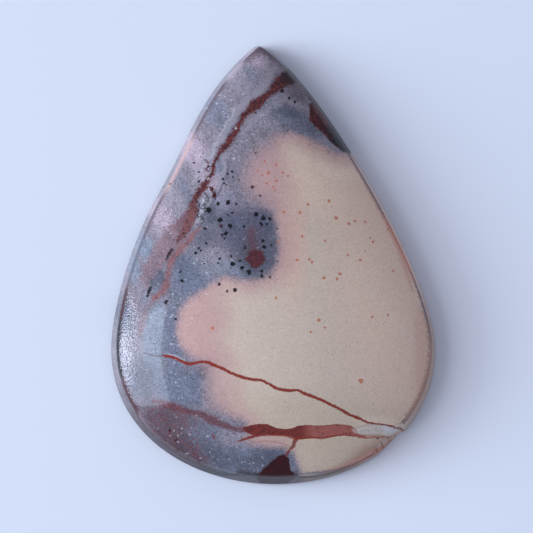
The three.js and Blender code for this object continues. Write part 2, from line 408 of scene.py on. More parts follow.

# Colours of the line round the girdle's upper edge, painted in this order.
# The line is partly the stone's own seam and partly painted shade, black where it lies in shade.
RIM_COLOURS_AND_SHADE = (
    (250, 90, 14, 60, -35, 0.4, 0.9, "lilac"),
    (175, 160, 26, 74, -28, 0.3, 1.0, "pink"),
    (134, 256, 18, 34, -18, 0.3, 1.0, "dark_slate"),
    (122, 305, 12, 18, 0, 0.3, 1.0, "crimson"),
    (116, 350, 12, 30, 0, 0.2, 1.0, "near_black"),
    (130, 402, 20, 26, 28, 0.3, 1.0, "rust"),
    (182, 456, 48, 16, 36, 0.3, 1.0, "dark_slate"),
    (262, 480, 44, 12, 0, 0.8, 0.9, "near_black"),
    (355, 466, 60, 20, -24, 0.4, 1.0, "wine"),
    (424, 385, 24, 50, 10, 0.4, 1.0, "tan"),
    (400, 240, 26, 110, 26, 0.4, 1.0, "orange"),
    (318, 110, 20, 60, 36, 0.3, 1.0, "near_black"),
)

# Colours of the light part, painted in this order; the peach and palest cream are partly painted
# light.
CREAM_PATCHES = (
    (392, 270, 52, 150, -8, 0.7, 0.95, "peach"),
    (325, 180, 46, 34, 30, 0.7, 0.9, "peach"),
    (338, 166, 20, 14, 35, 0.6, 0.8, "pale_cream"),
    (424, 340, 10, 56, 4, 0.7, 0.6, "rosy_cream"),
    (292, 240, 14, 52, 0, 0.7, 0.7, "rosy_cream"),
    (268, 172, 20, 38, -10, 0.7, 0.9, "pink"),
    (204, 322, 24, 34, 10, 0.7, 0.85, "pink"),
    (215, 356, 22, 12, 20, 0.7, 0.7, "pink"),
    (230, 398, 14, 26, -10, 0.7, 0.7, "pink"),
    (262, 444, 30, 7, 3, 0.7, 0.8, "mauve"),
    (290, 432, 90, 36, 0, 0.7, 0.75, "deep_cream"),
    (366, 456, 30, 10, -32, 0.7, 0.6, "tan"),
    (384, 425, 26, 8, 6, 0.5, 0.4, "pale_cream"),
)

# Single patches: where the border of the light part has no pink edge, the black upper end of
# the long vein, painted shade at the dark corner's far edge, and the clear end of the quartz.
BARE_BORDER = (312, 452, 20, 26, 0, 0.5, 0.9)
BLACK_VEIN_END = (292, 75, 12, 13, 0, 0.5, 0.8)
CORNER_SHADE = (344, 143, 26, 14, 52, 0.5, 0.95)
CLEAR_QUARTZ = (391, 429, 9, 5, 10, 0.5, 0.7)

# Where the line round the girdle's upper edge runs lower, and by what share of the girdle.
LOW_RIMS = (
    (190, 456, 54, 16, 36, 0.4, 0.6),
    (352, 463, 54, 16, -26, 0.4, 0.5),
)

# Where the border of the light part is softest.
SOFT_BORDERS = (
    (260, 172, 28, 42, 0, 0.5, 1.0),
    (212, 385, 22, 30, 0, 0.5, 0.8),
)

# Where the grey part is mottled with wine red, sparkles with painted glints on grains of quartz,
# has a pitted polish, and where the girdle gets painted shade.
MOTTLED = (
    (172, 426, 34, 20, 26, 0.4, 1.0),
    (188, 454, 30, 12, 36, 0.4, 1.0),
)
SPARKLING = (
    (190, 275, 20, 26, 20, 0.5, 0.7),
    (228, 450, 50, 16, 8, 0.5, 0.25),
    (200, 380, 30, 20, 0, 0.6, 0.25),
    (172, 330, 8, 44, 0, 0.5, 0.55),
    (219, 106, 13, 18, -32, 0.6, 0.6),
    (178, 425, 30, 20, 22, 0.6, 0.15),
)
PITTED = (
    (127, 325, 12, 36, -4, 0.4, 1.0),
    (128, 366, 12, 30, 6, 0.4, 1.0),
)
SHADED_GIRDLE = (
    (170, 440, 60, 44, 38, 0.3, 0.5),
    (270, 478, 96, 20, 0, 0.3, 0.7),
    (318, 110, 30, 60, 36, 0.3, 1.0),
    (424, 380, 24, 70, 10, 0.5, 0.35),
)
PITTED_DEPTH = 20  # what the pitted polish adds to the depth of the pits, as a multiple of it

# Specks: where they show and how wide they are, in pixels.
SPECKS = {
    "near_black": (
        (218, 203.5, 3.8), (228, 202.5, 4.5), (236, 204, 2.5), (209, 210, 5.4), (232, 213, 2.5),
        (228, 215, 2.5), (220, 220, 5), (230, 226, 4.5), (205, 229, 3), (226, 233, 4.5),
        (222, 235, 3), (224.5, 238.5, 2.2), (206, 243, 3), (199, 248, 2.5), (201, 251, 3),
        (196, 253, 3.2), (244, 226.5, 2.5), (256, 214.5, 4.5), (263, 218, 5), (270, 219, 3.8),
        (261.5, 224, 3.8), (267, 224, 2.5), (263, 241, 3.8), (271, 245, 2.5), (264, 247, 4.2),
        (245, 247.5, 2.8), (231, 256, 2.5), (220, 259, 2.5), (240, 261, 3), (233, 264, 4.5),
        (204, 264, 2.2), (218, 263, 2.2), (242, 268, 4.2), (249, 272, 4.8), (262, 271, 3),
        (262, 276, 3.5), (219, 284, 3.2), (235, 290, 4), (182, 281, 3.2), (180, 272, 2.8),
        (166, 302, 3.5), (175.5, 319, 2.8), (199, 172, 2.2), (232, 172, 2.5), (227.5, 173.5, 2.5),
        (233, 177, 2.2), (223, 179, 2.5), (224.5, 183, 2.5), (226.5, 185, 2.5), (209, 166, 2.2),
        (194, 163, 2.2), (199, 181, 2.5), (282, 91, 3.8), (289, 98, 3.2), (295, 102, 3),
    ),
    "crimson": (
        (242, 114.5, 2.6), (255.5, 113, 2.4), (200, 140, 2), (256, 153, 2.2), (252.5, 187, 3.4),
        (260, 196, 2.6), (239, 180.5, 2), (227, 291, 2.6), (270, 277, 2.4), (277, 229, 2),
        (278, 261, 2.2), (221, 226, 4), (191, 130, 2), (187, 136, 2), (163, 187, 2), (170, 184, 2),
        (212, 189, 3.4), (214.5, 195, 4.4), (378, 438.5, 2), (310, 99, 3), (309.5, 104, 2.4),
        (177, 451, 2.6), (199, 462, 3), (188, 458, 2.4), (170, 430, 2.4), (176, 440, 2.2),
    ),
    "orange": (
        (258, 170.5, 2.9), (268.5, 173, 3.1), (261.5, 175, 2.4), (276.5, 165, 2.6), (283, 172.5, 2.9),
        (288, 176, 2.4), (276, 181, 2.9), (267, 184, 2.4), (273, 187, 2.4), (275, 190, 2.6),
        (265, 161, 2.4), (329, 201, 2.9), (308, 204, 2.6), (284, 212, 2.4), (300, 213, 2.9),
        (336, 218, 3.6), (349, 223, 3.1), (355, 221, 2.6), (365, 222, 2.9), (302, 236, 2.6),
        (325, 241, 2.4), (370, 238, 2.9), (373, 242, 2.9), (365, 251, 2.6), (360, 260, 2.9),
        (297, 260, 2.4), (309, 259, 2.6), (312, 262, 2.4), (393, 271, 2.9), (340, 274, 3.6),
        (337, 279, 2.9), (324, 278, 3.1), (278, 242, 2.4), (280, 250, 2.4), (276, 298, 2.9),
        (213, 328, 2.9), (319, 320, 3.4), (325, 328, 2.9), (311, 332, 2.4), (372, 317, 2.6),
        (361, 381, 4.8), (388, 315, 2.9), (348, 255, 2.4), (388, 229, 2.4), (402, 246, 2.4),
    ),
    "white": (
        (251, 77.5, 1.5), (243, 94, 1.7), (231, 100, 1.5), (216.5, 103.5, 1.5), (226, 105, 1.4),
        (207, 108, 1.4), (215, 110, 1.5), (260.5, 115, 1.5), (263.5, 115, 1.4), (265, 122, 1.4),
        (316, 133, 1.5), (214, 135.5, 1.7), (247, 140, 1.5), (241, 141, 1.4), (234, 158.5, 2.5),
        (239, 160, 1.5), (249.5, 170, 1.5), (171, 210, 1.7), (171, 233, 1.9), (244, 281, 2),
        (206, 293.5, 2), (192, 318, 2), (325, 277, 1.2), (236, 128, 2.2), (208, 179, 2),
        (373, 421, 1.2), (385, 423.5, 1.4), (175.5, 359.5, 1.4), (181, 434, 1.5), (178, 442, 1.4),
        (208, 436, 1.8), (182, 428, 1.3), (161, 404, 1.4), (174, 415, 1.4),
    ),
}

# The colours of specks in the order that they are laid, and how strongly.
SPECK_STRENGTHS = (("orange", 0.8), ("crimson", 0.9), ("near_black", 0.97), ("white", 0.5))
SPECK_EDGE = 0.035  # mm
SPECK_RAGGEDNESS = 0.22  # mm

# Widths of the border between the light part and the grey, in millimetres.
BORDER = 0.4
SOFT_BORDER = 0.9  # added where the border is softest

# Grain of the stone: how finely it is divided, per millimetre, and how much each kind of noise
# lightens and darkens it.
GRAIN_SCALE = 6.0
GLINT_SCALE = 6.4
GRIT_LIFT = 2.3
GRAIN_LIFT = 0.3
BLOTCH_LIFT = 0.7
BAND_LIFT = 0.7
CREAM_LIFT = 0.26  # strength of all but the bands in the light part, where it is 1 in the grey
LEAST_LIFT = 0.3  # share of its colour that the darkest grain keeps
MOTTLED_STRENGTH = 0.75
GLINT_LEAST = 0.985  # random value, from 0 to 1, over which a grain glints
SPARKLE = 0.05  # how much lower that is in the sparkling patches
GLINT_EDGE = 0.03

# Finish of the surface.
POLISH_ROUGHNESS = 0.07
BACK_ROUGHNESS = 0.18  # added on the back
GIRDLE_ROUGHNESS = 0.25  # added on the girdle
BREAK_ROUGHNESS = 0.3  # added on the broken face
PIT_SCALE = 4.5  # per millimetre
PIT_DEPTH = 0.0025  # mm
REFRACTION = 1.54
SPECULAR_LEVEL = 0.36
FLOOR_ROUGHNESS = 0.9
FLOOR_SPECULAR_LEVEL = 0.1

# Camera: what it looks at in millimetres, the direction back to it, and its distance.
CAMERA_TARGET = Vector((-0.724, -0.515, 1.0))
CAMERA_DIRECTION = Vector((-0.058, -0.160, 1.0)).normalized()
CAMERA_DISTANCE = 300  # mm
SENSOR_WIDTH = 36  # mm
CLIP_START = 0.01  # metres
CLIP_END = 10  # metres


def point_at(start, degrees, distance):
    """The point at a distance from another, at an angle from the horizontal."""
    angle = math.radians(degrees)
    return start + distance * Vector((math.cos(angle), math.sin(angle)))


def camera_axes():
    """The camera's right and up directions."""
    right = Vector((0, 1, 0)).cross(CAMERA_DIRECTION).normalized()
    return right, CAMERA_DIRECTION.cross(right)


def camera_ray(x, y):
    """Start and direction, in millimetres, of the line of sight through a point of the view."""
    right, up = camera_axes()
    eye = CAMERA_TARGET + CAMERA_DIRECTION * CAMERA_DISTANCE
    seen = (
        CAMERA_TARGET
        + right * (x - IMAGE_CENTRE) * MM_PER_PIXEL
        + up * (IMAGE_CENTRE - y) * MM_PER_PIXEL
    )
    return eye, (seen - eye).normalized()


AXES = ((1.0, 0.0, 0.0), (0.0, 1.0, 0.0), (0.0, 0.0, 1.0))


class Sketch:
    """Adds nodes to a tree and joins them. A value may be a number or another node's socket."""

    def __init__(self, tree):
        self.tree = tree

    def add(self, kind, values=None, **settings):
        node = self.tree.nodes.new(kind)
        for name, setting in settings.items():
            setattr(node, name, setting)
        for name, value in (values or {}).items():
            self.feed(node.inputs[name], value)
        return node

    def feed(self, socket, value):
        if isinstance(value, bpy.types.NodeSocket):
            self.tree.links.new(value, socket)
        else:
            socket.default_value = value

    def math(self, operation, *values, clamp=False):
        node = self.add("ShaderNodeMath", dict(enumerate(values)), operation=operation)
        node.use_clamp = clamp
        return node.outputs[0]

    def vector(self, operation, *values):
        node = self.add("ShaderNodeVectorMath", dict(enumerate(values)), operation=operation)
        single = operation in {"LENGTH", "DISTANCE", "DOT_PRODUCT"}
        return node.outputs["Value" if single else "Vector"]

    def parts(self, vector):
        """The three parts of a vector, each by a dot product. With Separate XYZ nodes in their
        place the material once overflowed Cycles' store of values and rendered black."""
        return [self.vector("DOT_PRODUCT", vector, axis) for axis in AXES]

    def scaled(self, vector, factor):
        node = self.add("ShaderNodeVectorMath", {0: vector, "Scale": factor}, operation="SCALE")
        return node.outputs["Vector"]

    def ramp(self, value, low, high, start=0.0, end=1.0, smooth=True):
        """Maps a value from one range to another, level outside it."""
        values = {"Value": value, "From Min": low, "From Max": high, "To Min": start, "To Max": end}
        kind = "SMOOTHSTEP" if smooth else "LINEAR"
        return self.add("ShaderNodeMapRange", values, interpolation_type=kind).outputs["Result"]

    def mix(self, factor, below, above):
        """Lays one colour over another. The node's inputs 6 and 7 are its two colours."""
        node = self.add("ShaderNodeMix", data_type="RGBA")
        for index, value in ((0, factor), (6, below), (7, above)):
            if not isinstance(value, bpy.types.NodeSocket) and index > 0:
                value = (*value, 1)
            self.feed(node.inputs[index], value)
        return node.outputs[2]

    def noise(self, coordinates, scale, detail=2.0, roughness=0.5):
        """Noise around zero, from about -0.5 to 0.5."""
        values = {"Vector": coordinates, "Scale": scale, "Detail": detail, "Roughness": roughness}
        grain = self.add("ShaderNodeTexNoise", values)
        return self.math("SUBTRACT", grain.outputs["Fac"], 0.5)

    def shifted(self, coordinates, scale, reach):
        """Coordinates pushed about by noise."""
        values = {"Vector": coordinates, "Scale": scale, "Detail": 2.0}
        push = self.add("ShaderNodeTexNoise", values).outputs["Color"]
        push = self.vector("SUBTRACT", push, (0.5, 0.5, 0.5))
        return self.vector("ADD", coordinates, self.scaled(push, 2 * reach))


def new_object(name, data):
    made = bpy.data.objects.new(name, data)
    bpy.context.scene.collection.objects.link(made)
    return made


def evaluated_mesh(source, name):
    """A plain mesh of an object with its modifiers applied."""
    graph = bpy.context.evaluated_depsgraph_get()
    mesh = bpy.data.meshes.new_from_object(
        source.evaluated_get(graph), preserve_all_data_layers=True, depsgraph=graph
    )
    mesh.name = name
    return mesh


def discard(*objects):
    for item in objects:
        data = item.data
        bpy.data.objects.remove(item)
        if isinstance(data, bpy.types.Mesh):
            bpy.data.meshes.remove(data)
        else:
            bpy.data.curves.remove(data)


# Body of the stone.


def outline_curve():
    """The outline as one closed Bezier curve, clockwise from the right of the tip."""
    tip_right = point_at(TIP, -TIP_RIGHT_SLOPE, TIP_ROUNDING)
    tip_left = point_at(TIP, 180 + TIP_LEFT_SLOPE, TIP_ROUNDING)
    corners = (
        (
            tip_right.lerp(TIP, 2 / 3),
            tip_right,
            point_at(TIP, -TIP_RIGHT_SLOPE, TIP_TO_RIGHT),
        ),
        (
            point_at(RIGHT_BELLY, 90, RIGHT_BELLY_UP),
            RIGHT_BELLY,
            point_at(RIGHT_BELLY, -90, RIGHT_BELLY_DOWN),
        ),
        (point_at(HEEL, 0, HEEL_RIGHT), HEEL, point_at(HEEL, 180, HEEL_LEFT)),
        (
            point_at(LEFT_BELLY, -90, LEFT_BELLY_DOWN),
            LEFT_BELLY,
            point_at(LEFT_BELLY, 90, LEFT_BELLY_UP),
        ),
        (
            point_at(LEFT_FLANK, 180 + LEFT_FLANK_SLOPE, LEFT_FLANK_DOWN),
            LEFT_FLANK,
            point_at(LEFT_FLANK, LEFT_FLANK_SLOPE, LEFT_FLANK_UP),
        ),
        (
            point_at(TIP, 180 + TIP_LEFT_SLOPE, TIP_TO_LEFT),
            tip_left,
            tip_left.lerp(TIP, 2 / 3),
        ),
    )
    curve = bpy.data.curves.new("outline", "CURVE")
    curve.dimensions = "3D"
    spline = curve.splines.new("BEZIER")
    spline.bezier_points.add(len(corners) - 1)
    for point, (before, place, after) in zip(spline.bezier_points, corners):
        point.handle_left_type = point.handle_right_type = "FREE"
        point.handle_left = (before * MM).to_3d()
        point.co = (place * MM).to_3d()
        point.handle_right = (after * MM).to_3d()
    spline.use_cyclic_u = True
    spline.resolution_u = OUTLINE_RESOLUTION
    return curve


# Sockets of the body's tree: name, kind of socket, and the setting that fills it.
BODY_SOCKETS = (
    ("Points Around", "NodeSocketInt", "points_around"),
    ("Back Levels", "NodeSocketInt", "back_levels"),
    ("Bevel Levels", "NodeSocketInt", "bevel_levels"),
    ("Girdle Levels", "NodeSocketInt", "girdle_levels"),
    ("Dome Levels", "NodeSocketInt", "dome_levels"),
    ("Thickness", "NodeSocketFloat", "thickness"),
    ("Back Bevel", "NodeSocketFloat", "back_bevel"),
    ("Girdle Top", "NodeSocketFloat", "girdle_top"),
    ("Girdle Lean", "NodeSocketFloat", "girdle_lean"),
    ("Crown", "NodeSocketVector", "crown"),
    ("Dome Flatness", "NodeSocketFloat", "dome_flatness"),
    ("Dome Shoulder", "NodeSocketFloat", "dome_shoulder"),
    ("Ridge Rounding", "NodeSocketFloat", "ridge_rounding"),
    ("Ridge Rounding Start", "NodeSocketFloat", "ridge_rounding_start"),
    ("Edge Softness", "NodeSocketFloat", "edge_softness"),
    ("Hand Wobble", "NodeSocketFloat", "hand_wobble"),
    ("Wobble Seed", "NodeSocketFloat", "wobble_seed"),
)
ROUNDING_SAMPLES = 25  # taken along the outline for each point of a level
ROUNDING_REACH = 3  # standard deviations that the samples span, either way
WOBBLE_SCALE = 110  # per metre
WELD_DISTANCE = 4e-7
EDGE_BLURS = 3  # rounds of averaging that wear the girdle's edges


def body_tree():
    """Draws the stone as levels of its outline, from the middle of the back to the crown."""
    tree = bpy.data.node_groups.new("Cabochon", "GeometryNodeTree")
    face = tree.interface
    face.new_socket("Geometry", in_out="OUTPUT", socket_type="NodeSocketGeometry")
    face.new_socket("Outline", in_out="INPUT", socket_type="NodeSocketGeometry")
    for name, kind, _ in BODY_SOCKETS:
        face.new_socket(name, in_out="INPUT", socket_type=kind)
    face.new_socket("Material", in_out="INPUT", socket_type="NodeSocketMaterial")
    sketch = Sketch(tree)
    given = sketch.add("NodeGroupInput").outputs

    count = {"Curve": given["Outline"], "Count": given["Points Around"]}
    outline = sketch.add("GeometryNodeResampleCurve", count, mode="COUNT").outputs["Curve"]
    length = sketch.add("GeometryNodeCurveLength", {"Curve": outline}).outputs["Length"]

    # The sheet that becomes the skin: across it goes round the stone, and up it goes from
    # the back's middle over the bevel, the girdle and the dome.
    steps = given["Back Levels"]
    ends = [steps]
    for name in ("Bevel Levels", "Girdle Levels", "Dome Levels"):
        steps = sketch.math("ADD", steps, given[name])
        ends.append(steps)
    sheet = {
        "Size X": 1.0,
        "Size Y": 1.0,
        "Vertices X": sketch.math("ADD", given["Points Around"], 1),
        "Vertices Y": sketch.math("ADD", ends[-1], 1),
    }
    skin = sketch.add("GeometryNodeMeshGrid", sheet).outputs["Mesh"]
    place = sketch.add("GeometryNodeInputPosition").outputs[0]
    split = sketch.add("ShaderNodeSeparateXYZ", {0: place}).outputs
    around = sketch.math("ADD", split["X"], 0.5)
    level = sketch.math("MULTIPLY", sketch.math("ADD", split["Y"], 0.5), ends[-1])
    back = sketch.ramp(level, 0.0, ends[0], smooth=False)
    bevel = sketch.ramp(level, ends[0], ends[1], smooth=False)
    girdle = sketch.ramp(level, ends[1], ends[2], smooth=False)
    dome = sketch.ramp(level, ends[2], ends[3], smooth=False)

    # How far in from the outline each level lies, and how high.
    inset = sketch.math(
        "ADD",
        sketch.math("MULTIPLY", given["Back Bevel"], sketch.math("SUBTRACT", 1.0, bevel)),
        sketch.math("MULTIPLY", given["Girdle Lean"], girdle),
    )
    spread = sketch.math("COSINE", sketch.math("MULTIPLY", dome, math.pi / 2))
    spread = sketch.math("MULTIPLY", spread, back)
    fall = sketch.math("POWER", spread, given["Dome Flatness"])
    swell = sketch.math("SUBTRACT", 1.0, fall, clamp=True)
    swell = sketch.math("POWER", swell, given["Dome Shoulder"])
    swell = sketch.math("MULTIPLY", swell, sketch.math("GREATER_THAN", dome, 0.0))
    low = sketch.math("MULTIPLY", given["Back Bevel"], bevel)
    side = sketch.math("SUBTRACT", given["Girdle Top"], given["Back Bevel"])
    side = sketch.math("MULTIPLY", side, girdle)
    rise = sketch.math("SUBTRACT", given["Thickness"], given["Girdle Top"])
    rise = sketch.math("MULTIPLY", rise, swell)
    height = sketch.math("ADD", sketch.math("ADD", low, side), rise)

    # Each level is the outline rounded off along its own length, more so higher up.
    early = sketch.math("POWER", given["Ridge Rounding Start"], 2.0)
    early = sketch.math("MULTIPLY", early, dome)
    late = sketch.math("POWER", sketch.math("MULTIPLY", given["Ridge Rounding"], dome), 2.0)
    deviation = sketch.math("SQRT", sketch.math("ADD", early, late))
    start = sketch.add("GeometryNodeRepeatInput")
    finish = sketch.add("GeometryNodeRepeatOutput")
    start.pair_with_output(finish)
    finish.repeat_items.clear()
    finish.repeat_items.new("VECTOR", "Points")
    finish.repeat_items.new("FLOAT", "Weights")
    sketch.feed(start.inputs["Iterations"], ROUNDING_SAMPLES)
    middle = (ROUNDING_SAMPLES - 1) / 2
    offset = sketch.math("SUBTRACT", start.outputs["Iteration"], middle)
    offset = sketch.math("MULTIPLY", offset, ROUNDING_REACH / middle)
    weight = sketch.math("MULTIPLY", sketch.math("POWER", offset, 2.0), -0.5)
    weight = sketch.math("EXPONENT", weight)
    along = sketch.math("DIVIDE", sketch.math("MULTIPLY", offset, deviation), length)
    along = sketch.math("FRACT", sketch.math("ADD", sketch.math("ADD", around, along), 2.0))
    sample = {"Curves": outline, "Factor": along}
    sample = sketch.add("GeometryNodeSampleCurve", sample, mode="FACTOR").outputs
    inward = sketch.vector("CROSS_PRODUCT", sample["Tangent"], (0.0, 0.0, 1.0))
    point = sketch.vector("ADD", sample["Position"], sketch.scaled(inward, inset))
    total = sketch.vector("ADD", start.outputs["Points"], sketch.scaled(point, weight))
    sketch.feed(finish.inputs["Points"], total)
    weights = sketch.math("ADD", start.outputs["Weights"], weight)
    sketch.feed(finish.inputs["Weights"], weights)
    share = sketch.math("DIVIDE", 1.0, finish.outputs["Weights"])
    line = sketch.scaled(finish.outputs["Points"], share)

    inner = sketch.scaled(given["Crown"], sketch.math("SUBTRACT", 1.0, spread))
    flat = sketch.vector("ADD", inner, sketch.scaled(line, spread))
    lift = sketch.add("ShaderNodeCombineXYZ", {"Z": height}).outputs[0]
    placed = {"Geometry": skin, "Position": sketch.vector("ADD", flat, lift)}
    skin = sketch.add("GeometryNodeStoreNamedAttribute", {
        "Geometry": skin,
        "Name": "section",
        "Value": sketch.math(
            "ADD", sketch.math("ADD", back, bevel), sketch.math("ADD", girdle, dome)
        ),
    }, data_type="FLOAT", domain="POINT").outputs[0]
    placed["Geometry"] = skin
    skin = sketch.add("GeometryNodeSetPosition", placed).outputs[0]
    weld = {"Geometry": skin, "Distance": WELD_DISTANCE}
    skin = sketch.add("GeometryNodeMergeByDistance", weld).outputs[0]
    skin = sketch.add("GeometryNodeFlipFaces", {"Mesh": skin}).outputs[0]

    # The edges round the back and the girdle are worn, and the dome is polished by hand.
    section = sketch.add(
        "GeometryNodeInputNamedAttribute", {"Name": "section"}, data_type="FLOAT"
    ).outputs[0]
    worn = sketch.math(
        "MULTIPLY",
        sketch.ramp(section, BEVEL_START - 0.04, BEVEL_START, smooth=False),
        sketch.ramp(section, DOME_START + 0.02, DOME_START, smooth=False),
    )
    blur = {
        "Value": sketch.add("GeometryNodeInputPosition").outputs[0],
        "Iterations": EDGE_BLURS,
        "Weight": sketch.math("MULTIPLY", worn, given["Edge Softness"]),
    }
    blur = sketch.add("GeometryNodeBlurAttribute", blur, data_type="FLOAT_VECTOR").outputs[0]
    skin = sketch.add("GeometryNodeSetPosition", {"Geometry": skin, "Position": blur}).outputs[0]
    wave = sketch.add("ShaderNodeTexNoise", {
        "Vector": sketch.add("GeometryNodeInputPosition").outputs[0],
        "W": given["Wobble Seed"],
        "Scale": WOBBLE_SCALE,
        "Detail": 1.0,
    }, noise_dimensions="4D").outputs["Fac"]
    rising = sketch.ramp(section, DOME_START + 0.02, DOME_START + 0.3)
    wave = sketch.math("MULTIPLY", wave, rising)
    wave = sketch.math("MULTIPLY", wave, sketch.math("MULTIPLY", given["Hand Wobble"], -1.0))
    normal = sketch.add("GeometryNodeInputNormal").outputs[0]
    push = {"Geometry": skin, "Offset": sketch.scaled(normal, wave)}
    skin = sketch.add("GeometryNodeSetPosition", push).outputs[0]
    skin = sketch.add("GeometryNodeSetShadeSmooth", {"Geometry": skin}).outputs[0]
    dressed = {"Geometry": skin, "Material": given["Material"]}
    skin = sketch.add("GeometryNodeSetMaterial", dressed).outputs[0]
    skin = sketch.add("GeometryNodeRealizeInstances", {"Geometry": skin}).outputs[0]
    sketch.add("NodeGroupOutput", {"Geometry": skin})
    return tree


def stone_body(settings, material):
    """The whole stone as a plain mesh, before its edge is broken."""
    outline = new_object("outline", outline_curve())
    modifier = outline.modifiers.new("Cabochon", "NODES")
    modifier.node_group = body_tree()
    sockets = {
        item.name: item.identifier
        for item in modifier.node_group.interface.items_tree
        if item.in_out == "INPUT"
    }
    for name, _, setting in BODY_SOCKETS:
        modifier[sockets[name]] = getattr(settings, setting)
    modifier[sockets["Material"]] = material
    mesh = evaluated_mesh(outline, "stone_body")
    discard(outline)
    if not mesh.polygons:
        raise RuntimeError("the body of the stone came out empty")
    return mesh


OUTER_SKIN = 1e-6  # metres


def break_frame(settings):
    """Where the broken edge's block stands: its turn and its place, in metres."""
    flat = STEP_CORNER - STEP_END
    lean = math.atan2(settings.girdle_lean, settings.girdle_top - settings.back_bevel)
    turn = Matrix.Rotation(math.atan2(flat.y, flat.x), 4, "Z") @ Matrix.Rotation(-lean, 4, "X")
    return Matrix.Translation(Vector((*(STEP_END * MM), settings.back_bevel))) @ turn


def broken_edge(settings, material):
    """The block that the broken edge leaves room for, with a grainy inner face."""
    flat = STEP_CORNER - STEP_END
    turned = Matrix.Rotation(-math.atan2(flat.y, flat.x), 2)
    crack = (turned @ (CRACK_OUTLET - STEP_CORNER)).normalized() * STEP_REACH
    length = flat.length
    corners = (
        (-STEP_REACH, 0),
        (-STEP_REACH, -STEP_REACH),
        (length + crack.x, -STEP_REACH),
        (length + crack.x, crack.y),
        (length, 0),
    )
    block = bmesh.new()
    low = [block.verts.new((x * MM, y * MM, -STEP_REACH * MM)) for x, y in corners]
    high = [block.verts.new((x * MM, y * MM, STEP_REACH * MM)) for x, y in corners]
    block.faces.new(list(reversed(low)))
    block.faces.new(high)
    for i in range(len(corners)):
        j = (i + 1) % len(corners)
        block.faces.new((low[i], low[j], high[j], high[i]))
    bmesh.ops.subdivide_edges(block, edges=block.edges[:], cuts=BREAK_CUTS, use_grid_fill=True)
    bmesh.ops.triangulate(block, faces=block.faces)
    for vertex in block.verts:
        if max(abs(vertex.co.z), abs(vertex.co.y)) < STEP_REACH * MM - OUTER_SKIN:
            coarse = noise.noise(vertex.co / (BREAK_GRAIN_SIZE * MM))
            fine = noise.noise(vertex.co / (BREAK_FINE_GRAIN_SIZE * MM))
            vertex.co.y -= BREAK_GRAIN * MM * abs(coarse + 0.5 * fine)
    bmesh.ops.recalc_face_normals(block, faces=block.faces)
    block.transform(break_frame(settings))
    mesh = bpy.data.meshes.new("broken_edge")
    block.to_mesh(mesh)
    block.free()
    mesh.materials.append(material)
    return mesh


def broken_stone(whole, cutter):
    """The stone with the block taken out of its edge."""
    stone = new_object("whole_stone", whole)
    block = new_object("broken_edge", cutter)
    cut = stone.modifiers.new("Broken Edge", "BOOLEAN")
    cut.operation = "DIFFERENCE"
    cut.solver = "EXACT"
    cut.object = block
    mesh = evaluated_mesh(stone, "jasper_stone")
    discard(stone, block)
    return mesh


# Where the markings lie.


def pattern_places(points, depths):
    """Moves points, in millimetres, up along the grain to the face that the markings are
    placed on, which lies at a given height over each of them."""
    places = np.empty((len(points), 2))
    for row, (point, depth) in enumerate(zip(points, depths)):
        drift = noise.noise_vector(Vector(point) * WANDER_SCALE) * WANDER * depth**2
        places[row] = (
            point[0] + SLANT.x * depth + drift.x,
            point[1] + SLANT.y * depth + drift.y,
        )
    return places


class Sight:
    """Lays points of the view on the stone."""

    def __init__(self, mesh, girdle_top):
        vertices = [vertex.co / MM for vertex in mesh.vertices]
        faces = [face.vertices[:] for face in mesh.polygons]
        self.tree = BVHTree.FromPolygons(vertices, faces)
        self.girdle_top = girdle_top

    def place(self, x, y):
        start, direction = camera_ray(x, y)
        hit = self.tree.ray_cast(start, direction)[0]
        if hit is None:
            # Past the stone's edge, at half the girdle's height.
            hit = start + direction * ((self.girdle_top / 2 - start.z) / direction.z)
        return pattern_places([hit], [max(0.0, self.girdle_top - hit.z)])[0]


PATH_STEP = 0.15  # mm


def smooth_path(knots):
    """A smooth line through knots of place and width, with points about a step apart."""
    knots = np.array(knots)
    before = np.vstack([2 * knots[0] - knots[1], knots[:-1]])
    after = np.vstack([knots[1:], 2 * knots[-1] - knots[-2]])
    path = []
    for i in range(len(knots) - 1):
        a, b, c, d = before[i], knots[i], knots[i + 1], after[i + 1]
        count = max(2, int(np.hypot(*(c - b)[:2]) / PATH_STEP))
        t = np.arange(count)[:, None] / count
        path.append(
            0.5 * (2 * b + (c - a) * t + (2 * a - 5 * b + 4 * c - d) * t**2
                   + (3 * b - a - 3 * c + d) * t**3)
        )
    path.append(knots[-1:])
    return np.vstack(path)


NO_RIBBON = -1.0  # half-width where no ribbon is near
RIBBON_MARGIN = 3  # mm round a ribbon's points that are measured
RIBBON_REACH = 0.7  # mm past its edge that a ribbon's own coordinates hold
RIBBON_FALL = 3  # how fast the half-width falls past that


